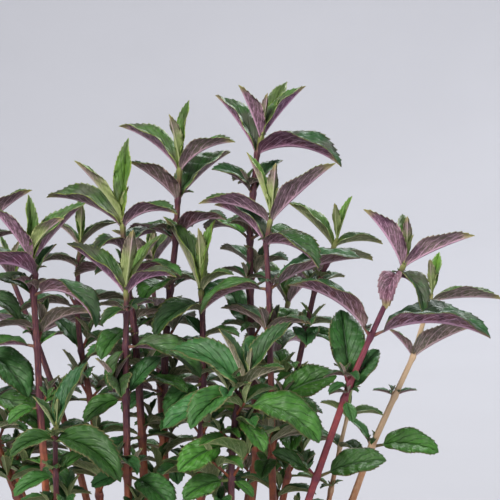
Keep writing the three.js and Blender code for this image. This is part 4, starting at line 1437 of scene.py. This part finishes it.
# %% Side shoots
SIDE_MISSING = -0.55
SIDE_SIZES = [0, 3.5, 7.0, 15.0, 21.0, 24.0, 22.0]
SIDE_VARIETY, SWING_VARIETY, CROSS_VARIETY, LOWER_VARIETY = 0.35, 14, 15, 0.15
SIDE_RISE, SIDE_RISE_VARIETY = 52, 12
LOWER_RISE, LOWER_RISE_VARIETY, LOWER_ARCH = 34, 14, 48
INNER_SHARE, INNER_RISE, INNER_RISE_VARIETY, INNER_ARCH = 0.55, 66, 8, 16
SIDE_STEM_HALVES = [0.7, 0.55, 0.45]
SIDE_STEM, SIDE_STEM_BY_PAIR, MIDDLE_KNOT = 0.12, 0.06, 0.7

side_shoot = namedtuple("side_shoot", "path halves leaves")


def side_shoot_of(heading, root, pairs, draw, share):
    """A side shoot above a leaf's foot, or None where none has sprouted."""
    sprouts, size = next(draw), next(draw)
    if sprouts < SIDE_MISSING:
        return None
    length = by_pair(SIDE_SIZES, pairs) * share * (1 + SIDE_VARIETY * size)
    out = level_way(radians(heading + SWING_VARIETY * next(draw)))
    rise = radians(SIDE_RISE + SIDE_RISE_VARIETY * next(draw))
    way = out * cos(rise) + UP * sin(rise)
    foot = root + out * STEM_HALF_TIP * 0.6 + UP * 1.0
    tip = foot + way * length * (SIDE_STEM + SIDE_STEM_BY_PAIR * pairs)
    middle = foot + (tip - foot) * MIDDLE_KNOT + UP * 0.3
    swing = heading + 90 + CROSS_VARIETY * next(draw)
    leaves = []
    for side in (0, 180):
        own_length = length * (1 + LOWER_VARIETY * next(draw))
        own_rise = LOWER_RISE + LOWER_RISE_VARIETY * next(draw)
        leaves.append((swing + side, leaf(own_length, own_rise, LOWER_ARCH), middle))
    for side in (0, 180):
        own_rise = INNER_RISE + INNER_RISE_VARIETY * next(draw)
        inner = leaf(length * INNER_SHARE, own_rise, INNER_ARCH)
        leaves.append((swing + 90 + side, inner, tip))
    return side_shoot(np.array([foot - way * 0.5, middle, tip]), SIDE_STEM_HALVES, leaves)


trial = side_shoot_of(0, np.zeros(3), 4, draws(1), 1.0)
print("leaves of a side shoot:", len(trial.leaves))

# %% The inner bud
BUD_SHARE, BUD_RISE, BUD_ARCH, BUD_VARIETY, BUD_SWING = 0.42, 80, 8, 8, 12


def bud_leaves(plan, root, draw):
    """The tiny upright pair inside the young one."""
    leaves = []
    for side in (0, 180):
        heading = plan.turn + side + BUD_SWING * next(draw)
        arch = BUD_ARCH + BUD_VARIETY * next(draw)
        leaves.append((heading, leaf(plan.bud[0].length * BUD_SHARE, BUD_RISE, arch), root))
    return leaves


inner_pair = bud_leaves(plans[0], np.zeros(3), draws(1))
print("length of an inner leaf:", round(inner_pair[0][1].length, 1), "mm")

# %% [markdown]
# ## Growing the shoots
#
# Each shoot's purple differs: the dark, sunlit ones are deep mauve below, while those that grew low
# and shaded stayed green. That is one number a shoot, and it fades from pair to pair downwards. A
# leaf's age goes the other way, and low shoots count as older.

# %% Purple and age of each leaf
FLUSH = {
    "shoot_red_right": 1.0, "shoot_centre": 0.95, "shoot_low_centre": 0.4,
    "shoot_front_left": 0.9, "shoot_left": 0.95, "shoot_second_left": 0.9,
    "shoot_middle": 0.45, "shoot_third": 0.85, "shoot_tall": 0.95,
    "shoot_behind_right": 0.35, "shoot_pale_right": 0.8, "shoot_small_left": 0.15,
    "shoot_thin_right": 0.15, "shoot_behind_left": 0.6, "shoot_far_left": 0.9,
}
USUAL_FLUSH = 0.75
FLUSH_BY_PAIR = [0.75, 1.0, 1.0, 0.95, 0.85, 0.7, 0.5]
PALER = {"shoot_pale_right": 0.8}
AGE_BY_PAIR = [0.0, 0.16, 0.34, 0.52, 0.72, 0.9, 1.0]
LOW_AGE = 0.3
LOW_SHOOTS = {"shoot_low_centre", "shoot_small_left", "shoot_low_front", "shoot_low_back"}


def look_of_leaf(plan, pairs, draw):
    """Age, tone and flush of a leaf, as the shaders read them."""
    age = by_pair(AGE_BY_PAIR, pairs)
    if plan.name in LOW_SHOOTS:
        age = LOW_AGE + (1 - LOW_AGE) * age
    tone = 0.5 + 0.5 * next(draw) + PALER.get(plan.name, 0.0)
    flush = FLUSH.get(plan.name, USUAL_FLUSH) * by_pair(FLUSH_BY_PAIR, pairs)
    return age, tone, np.clip(flush + 0.1 * next(draw), 0, 1)


print("shoots with a purple of their own:", len(FLUSH))

# %% [markdown]
# ### What shows of a leaf
#
# Only leaves that are seen well get fine columns. A leaf that turns its lower face to the front is
# rolled back a little, so that the green of its far half shows along the top, as in the picture.
# One small leaf under the crimson tip has turned over on its stalk, so its two finishes change
# places.

# %% Columns and roll of each leaf
COARSE_COLUMNS = [0, 0.07, 0.25, 0.5, 0.78, 1]
SMALL_COLUMNS = [0, 0.08, 0.3, 0.64, 1]
SMALL_LEAF = 13.0
COARSE_FROM_PAIR = 4
ROLL_BACK = 17
STAYS_ROLLED = {("shoot_red_right", 1), ("shoot_left", 3)}


def leaf_columns(plan, shape, pairs):
    """Fine rows for the leaves that are seen best, coarser ones for small and low leaves."""
    if shape.length < SMALL_LEAF:
        return SMALL_COLUMNS
    hidden = plan.name in {row[0] for row in HIDDEN_SHOOTS}
    return COARSE_COLUMNS if hidden or pairs >= COARSE_FROM_PAIR else FINE_COLUMNS


def rolled_back(plan, shape, pairs):
    if shape.tip >= 0 or (plan.name, pairs) in STAYS_ROLLED:
        return shape
    return shape._replace(tip=shape.tip + ROLL_BACK)


front_leaves = [shape for _, shape, _, pairs in grown["shoot_centre"] if pairs]
print("leaves of the middle shoot that are turned to the front:",
      sum(shape.tip < 0 for shape in front_leaves), "of", len(front_leaves))

# %% [markdown]
# ### From tip to foot
#
# Every leaf is skinned in its stance, with a side shoot in its axil. Knots that have lost their
# leaves still have side shoots, and the bud closes the tip. The shoot's own stem comes last, and
# the finished piece takes the place of its plain node.

# %% A shoot as it grows
TURNED_OVER = ("shoot_red_right", 248)
TINY_COLUMNS = [0, 0.12, 0.5, 1]
SMALL_SIDE_LEAF = 8
SIDE_SHARES = {"shoot_red_right": 0.55, "shoot_pale_right": 0.35, "shoot_thin_right": 0.4}
SIDE_AGE, SIDE_AGE_OF_LEAF, INNER_AGE, SIDE_FLUSH = 0.12, 0.5, 0.4, 0.8


class Shoot(Growth):
    """The piece of one shoot, with its plan and its draws."""

    def __init__(self, plan, seed):
        super().__init__()
        self.plan, self.draw = plan, draws(seed)
        self.stem_tone = 0.5 + 0.5 * next(draws(seed + 1))

    def add_leaf(self, heading, shape, root, pairs, look, columns, variety):
        rings, on_blade = skin_leaf(root, heading, shape, pairs, variety, columns)
        finishes = leaf_finishes(rings.shape[1])
        if (self.plan.name, heading) == TURNED_OVER:
            finishes = UPPER + LOWER - finishes
        self.add(rings, on_blade, look, finishes)

    def add_stem(self, path, halves, turn, height_share, columns):
        rings, marks, gone, nearness = stem_rings(path, halves, turn, columns)
        share = gone / gone[-1] if height_share is None else np.full(len(gone), height_share)
        look = np.stack([share, np.full(len(gone), self.stem_tone), nearness], -1)[:, None, :]
        self.add(rings, marks, look, np.full(columns, STEM))

    def add_side_shoot(self, heading, root, pairs, look, variety):
        share = SIDE_SHARES.get(self.plan.name, 1.0)
        sprout = side_shoot_of(heading, root, pairs, self.draw, share)
        if not sprout:
            return
        age, tone, flush = look
        young = SIDE_AGE + SIDE_AGE_OF_LEAF * age
        for i, (swing, small, place) in enumerate(sprout.leaves):
            columns = SMALL_COLUMNS if small.length > SMALL_SIDE_LEAF else TINY_COLUMNS
            above, own_age = (2, young) if i < 2 else (1, young * INNER_AGE)
            of_leaf = (own_age, tone, flush * SIDE_FLUSH)
            self.add_leaf(swing, small, place, above, of_leaf, columns, variety)
        height_share = 1 - pairs / (len(self.plan.knots) + 2)
        turn = radians(heading)
        self.add_stem(sprout.path, sprout.halves, turn, height_share, SIDE_STEM_COLUMNS)


print("points of a shoot before it grows:", Shoot(plans[0], 1).count)

# %% Its pairs, its bare knots and its tip
BARE_BELOW = "shoot_pale_right"
BARE_LOOK, BUD_TONE, BUD_FLUSH = (0.7, 0.5, 0.2), 0.6, 0.3
PLAIN_VARIETY = (0.5, 0.0)


def add_pairs(growing):
    plan, draw = growing.plan, growing.draw
    for heading, shape, root, pairs in grown[plan.name]:
        variety = (0.5 + 0.5 * next(draw), next(draw))
        look = look_of_leaf(plan, pairs, draw)
        columns = leaf_columns(plan, shape, pairs)
        rolled = rolled_back(plan, shape, pairs)
        growing.add_leaf(heading, rolled, root, pairs, look, columns, variety)
        if pairs:
            growing.add_side_shoot(heading, root, pairs, look, variety)


def add_bare_knots(growing):
    """Where the large leaves have dropped, their side shoots still grow."""
    plan, places = growing.plan, places_of(growing.plan)
    for i, (_, _, pair) in enumerate(plan.knots):
        if not pair and plan.name != BARE_BELOW:
            below = len(plan.knots) - i
            for side in (0, 180):
                turn = plan.turn + 90 * (below % 2) + side
                growing.add_side_shoot(turn, places[i + 1], below, BARE_LOOK, PLAIN_VARIETY)


def add_bud(growing):
    plan = growing.plan
    look = (0.0, BUD_TONE, FLUSH.get(plan.name, USUAL_FLUSH) * BUD_FLUSH)
    for heading, shape, root in bud_leaves(plan, places_of(plan)[-1], growing.draw):
        growing.add_leaf(heading, shape, root, 0, look, TINY_COLUMNS, PLAIN_VARIETY)


trial = Shoot(plans[0], 1)
add_pairs(trial)
print("points of the pairs on the first shoot:", trial.count)

# %% Grow every shoot
STEM_OF = {
    "shoot_red_right": "stem_crimson", "shoot_pale_right": "stem_pale",
    "shoot_thin_right": "stem_pale",
}
SEED_STEP = 7919


def grow(plan, seed):
    """One shoot as one piece: its leaves, side shoots, bud and stem."""
    growing = Shoot(plan, seed)
    add_pairs(growing)
    add_bare_knots(growing)
    add_bud(growing)
    growing.add_stem(*main_stem(plan), radians(plan.turn), None, STEM_COLUMNS)
    finishes = [UPPER_FACE, LOWER_FACE, STEMS[STEM_OF.get(plan.name, "stem_purple")]]
    piece = growing.make(plan.name.replace("shoot", "fine"), finishes)
    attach(piece, "root")
    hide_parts(plan.name)
    return piece


pieces = [grow(plan, SEED_STEP * (i + 1)) for i, plan in enumerate(plans)]
counts = [sum(len(face.vertices) - 2 for face in piece.data.polygons) for piece in pieces]
print("triangles in the shoots:", sum(counts), "most in one:", max(counts))

# %% [markdown]
# ## Potting mix
#
# The mix is dark peat with bits of bark and a few white grains of perlite. Its body is one turned
# solid that fills the pot, and its top is a fine grid with the same gentle waves as the plain one
# and some roughness on top. Loose crumbs then lie on it. A displaced plane alone would look like
# baked mud, so the crumbs are bodies of their own.

# %% Peat
PEAT, tree, shader = new_material("potting_mix_peat")
earth = use(
    tree, MOTTLE, Color=paint(74, 56, 44), Shade=paint(40, 30, 25), Scale=320.0, Amount=0.9
)
sand = use(tree, GRAIN, Scale=1100.0, Pits=0.7)
fibres = fade(tree, cloud(tree, stretched(tree, place_of(tree), (1, 0.25, 1)), 900.0), 0.62, 0.72)
colour = layered(
    tree, earth["Color"],
    (times(tree, sand["Pits"], 0.8), paint(26, 20, 17)),
    (times(tree, fibres, 0.5), paint(122, 94, 70)),
)
coat(tree, shader, colour, 0.95, 0.2)
raise_surface(tree, shader, sand["Height"], 0.001, 0.9)
print(PEAT.name, "nodes:", len(tree.nodes))

# %% Bark and perlite
BARK, tree, shader = new_material("potting_mix_bark")
layers = cloud(tree, stretched(tree, place_of(tree), (1, 1, 6)), 240.0, detail=5)
bark = mix(tree, fade(tree, layers, 0.35, 0.65), paint(58, 40, 30), paint(112, 78, 54))
coat(tree, shader, bark, 0.85)
raise_surface(tree, shader, layers, 0.0006, 0.8)

PERLITE, tree, shader = new_material("potting_mix_perlite")
foam = use(tree, GRAIN, Scale=1700.0, Pits=0.9)
dusty = use(
    tree, MOTTLE, Color=paint(216, 212, 202), Shade=paint(176, 166, 150), Scale=260.0, Amount=0.7
)
coat(tree, shader, dusty["Color"], 0.9)
raise_surface(tree, shader, foam["Height"], 0.0005, 0.9)
print("grain finishes:", BARK.name, PERLITE.name)

# %% [markdown]
# ### The body of the mix
#
# The turned profile runs from under the middle, up the wall and back over the top. Only points at
# the top get the waves and the roughness, and they fade out towards the wall, where watering has
# washed a shallow gully.

# %% Body
SOIL_UNEVEN = 2.0
SOIL_WAVES = (13.0, 11.0)
SOIL_PROFILE = [(0.01, 8.35), (47.95, 8.35), (67.95, 112.0), (74.2, 131.2)]
SOIL_EDGE = SOIL_PROFILE[-1][0]
SOIL_TOP_RINGS = 62
SOIL_STEP_IN, SOIL_MIDDLE = 0.3, 0.2
TURN_SIDES = 180
ROUGHNESS_SCALE = 0.16
ROUGHNESS_HEIGHT = 1.5
EVEN_AT_WALL = 4
GULLY, GULLY_WIDTH = 1.3, 3.0


def soil_height(x, y):
    """Height of the mix at a place, in mm."""
    wave = SOIL_UNEVEN * sin(x / SOIL_WAVES[0]) * cos(y / SOIL_WAVES[1])
    rough = noise.fractal(Vector((x, y, 3.0)) * ROUGHNESS_SCALE, 0.8, 2.0, 5)
    from_wall = SOIL_EDGE - np.hypot(x, y)
    gully = GULLY * float(np.exp(-((from_wall / GULLY_WIDTH) ** 2)))
    inwards = float(smooth(from_wall, 0, EVEN_AT_WALL))
    return SOIL_LEVEL + wave + ROUGHNESS_HEIGHT * rough * inwards - gully


def capped_faces(rings, sides):
    """The faces of a turned body that is closed by a flat cap at each end."""
    last = (rings - 1) * sides
    caps = [list(range(sides))[::-1], list(range(last, last + sides))]
    return turned_faces(rings, sides).tolist() + caps


top_radii = np.linspace(SOIL_EDGE - SOIL_STEP_IN, SOIL_MIDDLE, SOIL_TOP_RINGS)
top = [(radius, SOIL_LEVEL) for radius in top_radii]
points = turned_points(SOIL_PROFILE + top, TURN_SIDES)
first_top = len(SOIL_PROFILE) * TURN_SIDES
points[first_top:, 2] = [soil_height(x, y) for x, y, _ in points[first_top:]]
faces = capped_faces(len(SOIL_PROFILE + top), TURN_SIDES)
soil = new_object("soil_fill", points * MM, faces, [PEAT])
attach(soil, "root")
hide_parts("soil")
print("height of the mix in the middle:", round(soil_height(0, 0), 1), "mm")

# %% [markdown]
# ### Crumbs, bark and perlite
#
# Each grain starts as a ball of 42 points, is pushed in and out at random, stretched, turned and
# laid on the mix. Bark is long and flat, perlite is nearly round. All sit a third of their height
# deep, because the mix has been watered many times.

# %% One loose grain
GRAIN_BUMPS, GRAIN_WIDTHS = 0.22, (0.7, 1.2)
GRAIN_CIRCLE = 71
GRAIN_TILT = 0.35
SUNK = 0.3
rng = np.random.default_rng(7)

ball = bmesh.new()
bmesh.ops.create_icosphere(ball, subdivisions=2, radius=1.0)
ball_points = np.array([vertex.co for vertex in ball.verts])
ball_faces = np.array([[vertex.index for vertex in face.verts] for face in ball.faces])
ball.free()


def grain(low, high, width, height):
    """Points of one grain in mm, lying on the mix."""
    half = low + (high - low) * rng.random() ** 2
    bumps = rng.normal(size=(len(ball_points), 1)).clip(-1.5, 1.5)
    shape = ball_points * (1 + GRAIN_BUMPS * bumps)
    shape = shape * half * np.array([1, width * rng.uniform(*GRAIN_WIDTHS), height])
    swing = Matrix.Rotation(rng.uniform(0, 2 * pi), 3, "Z")
    tilt = swing @ Matrix.Rotation(rng.normal() * GRAIN_TILT, 3, "X")
    radius, angle = GRAIN_CIRCLE * rng.random() ** 0.5, rng.uniform(0, 2 * pi)
    x, y = radius * cos(angle), radius * sin(angle)
    lift = half * height * (1 - 2 * SUNK)
    return shape @ np.array(tilt).T + [x, y, soil_height(x, y) + lift]


print("points of a grain:", len(ball_points))

# %% Strew the grains
GRAINS = [
    # how many, smallest and largest half length, width and height as shares, finish
    (430, 0.9, 2.8, 0.8, 0.7, 0),
    (100, 2.5, 6.5, 0.5, 0.22, 1),
    (60, 0.9, 2.0, 0.9, 0.85, 2),
]
grains, finishes = [], []
for count, low, high, width, height, finish in GRAINS:
    grains += [grain(low, high, width, height) for _ in range(count)]
    finishes += [finish] * count
faces = np.concatenate([ball_faces + i * len(ball_points) for i in range(len(grains))])
crumbs = new_object("soil_crumbs", np.concatenate(grains) * MM, faces, [PEAT, BARK, PERLITE])
crumbs.data.polygons.foreach_set(
    "material_index", np.repeat(finishes, len(ball_faces)).astype(np.int32)
)
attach(crumbs, "root")
print("grains:", len(grains))

# %% [markdown]
# ## Fired clay
#
# A terracotta pot is never one orange. The clay has darker and paler clouds, fine sand and tiny
# pits from the firing, and where water has come through the wall it leaves a chalky bloom. The foot
# stays damp and looks darker. The bloom follows the height, so it is drawn by height and noise.

# %% Terracotta
CLAY, tree, shader = new_material("terracotta")
place = place_of(tree)
height = split(tree, place)[2]
clay = use(
    tree, MOTTLE, Color=paint(182, 108, 76), Shade=paint(156, 86, 60), Scale=26.0, Amount=0.75
)
sand = use(tree, GRAIN, Scale=1500.0, Pits=0.5)
brushed = cloud(tree, stretched(tree, place, (1, 1, 14)), 42.0, detail=5)
damp = times(
    tree, fade(tree, height, 0.0, 0.05, 0.6, 0.0),
    fade(tree, cloud(tree, place, 30.0), 0.3, 0.6, 0.5, 1.0),
)
clouds = cloud(tree, stretched(tree, place, (1, 1, 0.7)), 34.0, detail=8, roughness=0.68)
band = calculate(
    tree, "MAXIMUM",
    times(tree, fade(tree, height, 0.012, 0.03), fade(tree, height, 0.07, 0.035)),
    fade(tree, height, 0.106, 0.122, 0.0, 0.75),
)
dust = fade(tree, cloud(tree, place, 900.0, detail=3), 0.38, 0.6, 0.35, 1.0)
bloom = times(
    tree, fade(tree, clouds, 0.5, 0.72), dust, calculate(tree, "MULTIPLY_ADD", band, 0.42, 0.14)
)
colour = layered(
    tree, clay["Color"],
    (times(tree, sand["Pits"], 0.7), paint(112, 66, 48)),
    (fade(tree, brushed, 0.5, 0.75, 0.0, 0.3), paint(206, 136, 102)),
    (damp, paint(120, 70, 50)),
    (bloom, paint(222, 200, 184)),
)
coat(tree, shader, colour, fade(tree, bloom, 0.0, 0.6, 0.78, 0.95), 0.3)
relief = calculate(tree, "MULTIPLY_ADD", brushed, 0.8, sand["Height"])
raise_surface(tree, shader, relief, 0.0006, 0.7)
print(CLAY.name, "nodes:", len(tree.nodes))

# %% [markdown]
# ## The pot
#
# Such pots are turned or pressed: a tapering wall, a thick band at the rim and holes in the floor.
# The profile has the corners of the plain pot. Each corner is rounded as worn clay is, and the
# long lines between them are divided, so that the wall can carry faint turning marks.

# %% Rounded profile
POT_CORNERS = [
    # radius, height, how far the rounding reaches
    (0.5, 0.9, 0), (45.0, 0.9, 1.0), (48.5, 0.0, 1.0), (56.0, 0.2, 1.8), (76.0, 117.2, 1.2),
    (82.0, 118.8, 1.5), (88.0, 149.6, 2.6), (81.2, 150.0, 2.4), (69.0, 112.0, 3.0),
    (49.0, 8.0, 6.0), (0.5, 8.0, 0),
]
CORNER_STEPS = 5
DIVIDE_EVERY = 2.6


def rounded_profile(corners):
    """Profile points with each corner drawn as a short curve between its two lines."""
    places = np.array([corner[:2] for corner in corners])
    line = [places[0]]
    for i in range(1, len(corners) - 1):
        corner, reach = places[i], corners[i][2]
        before, after = places[i - 1] - corner, places[i + 1] - corner
        start = corner + before / np.linalg.norm(before) * reach
        end = corner + after / np.linalg.norm(after) * reach
        for t in np.linspace(0, 1, CORNER_STEPS):
            line.append((1 - t) ** 2 * start + 2 * t * (1 - t) * corner + t * t * end)
    line.append(places[-1])
    points = [line[0]]
    for here, after in zip(line, line[1:]):
        parts = max(1, int(np.linalg.norm(after - here) / DIVIDE_EVERY))
        points += [here + (after - here) * (k + 1) / parts for k in range(parts)]
    return np.array(points)


pot_profile = rounded_profile(POT_CORNERS)
print("points in the profile:", len(pot_profile))

# %% [markdown]
# ### Turning marks, wear and drains
#
# The marks are a tenth of a millimetre deep, wander a little in height, and lie on the inside and
# the outside. The pot is also not quite round, and its rim has lost a few small chips. The drains
# are cut with a Boolean, as a potter would punch them through the finished floor.

# %% Turn the pot
MARK_DEPTH, MARK_EVERY, MARK_WANDER = 0.13, 3.4, 0.8
MARK_EVENNESS, MARKS_FROM, MARKS_FULL = 0.6, 40, 52
OUT_OF_ROUND = 0.0016
CHIP_CIRCLE, CHIP_HEIGHT = 87.3, 149.4
CHIPS = [(200, 2.6, 1.1), (305, 1.8, 0.8), (62, 3.2, 1.2), (118, 1.6, 0.7)]

points = turned_points(pot_profile, TURN_SIDES)
height = points[:, 2].copy()
angle = np.arctan2(points[:, 1], points[:, 0])
radius = np.hypot(points[:, 0], points[:, 1])
wander = MARK_WANDER * np.sin(angle + height / 17)
evenness = MARK_EVENNESS + (1 - MARK_EVENNESS) * np.sin(height / 9 + 2 * angle)
marks = MARK_DEPTH * np.sin(2 * pi * height / MARK_EVERY + wander)
marks = marks * evenness * smooth(radius, MARKS_FROM, MARKS_FULL)
oval = 1 + OUT_OF_ROUND * (np.sin(2 * angle + 0.7) + 0.5 * np.sin(3 * angle))
for turn_of_chip, reach, depth in CHIPS:
    place = level_way(radians(turn_of_chip)) * CHIP_CIRCLE + UP * CHIP_HEIGHT
    near = np.exp(-((np.linalg.norm(points - place, axis=1) / reach) ** 4))
    points[:, 2] -= depth * near
    radius = radius - depth * near
radius = (radius + marks) * oval
points[:, 0], points[:, 1] = radius * np.cos(angle), radius * np.sin(angle)
pot = new_object("clay_pot", points * MM, capped_faces(len(pot_profile), TURN_SIDES), [CLAY])
print("points of the pot:", len(points))

# %% Cut the drains
DRAIN_CIRCLE, DRAIN_RADIUS, DRAIN_SIDES = 32.0, 5.0, 40
DRAIN_HEIGHT, DRAIN_DEPTH, DRAIN_TAPER = 4, 24, 0.5

cutter = bmesh.new()
for quarter in (45, 135, 225, 315):
    middle = Vector((*level_way(radians(quarter))[:2] * DRAIN_CIRCLE, DRAIN_HEIGHT))
    bmesh.ops.create_cone(
        cutter, cap_ends=True, segments=DRAIN_SIDES, depth=DRAIN_DEPTH * MM,
        matrix=Matrix.Translation(middle * MM),
        radius1=DRAIN_RADIUS * MM, radius2=(DRAIN_RADIUS - DRAIN_TAPER) * MM,
    )
punches = new_object("punches", [(0, 0, 0)], [])
cutter.to_mesh(punches.data)
cutter.free()
drains = pot.modifiers.new("drains", "BOOLEAN")
drains.operation, drains.object, drains.solver = "DIFFERENCE", punches, "EXACT"
cut = bpy.data.meshes.new_from_object(pot.evaluated_get(bpy.context.evaluated_depsgraph_get()))
pot.modifiers.clear()
pot.data = cut
bpy.data.objects.remove(punches)
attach(pot, "root")
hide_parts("pot")
print("faces of the pot:", len(pot.data.polygons))
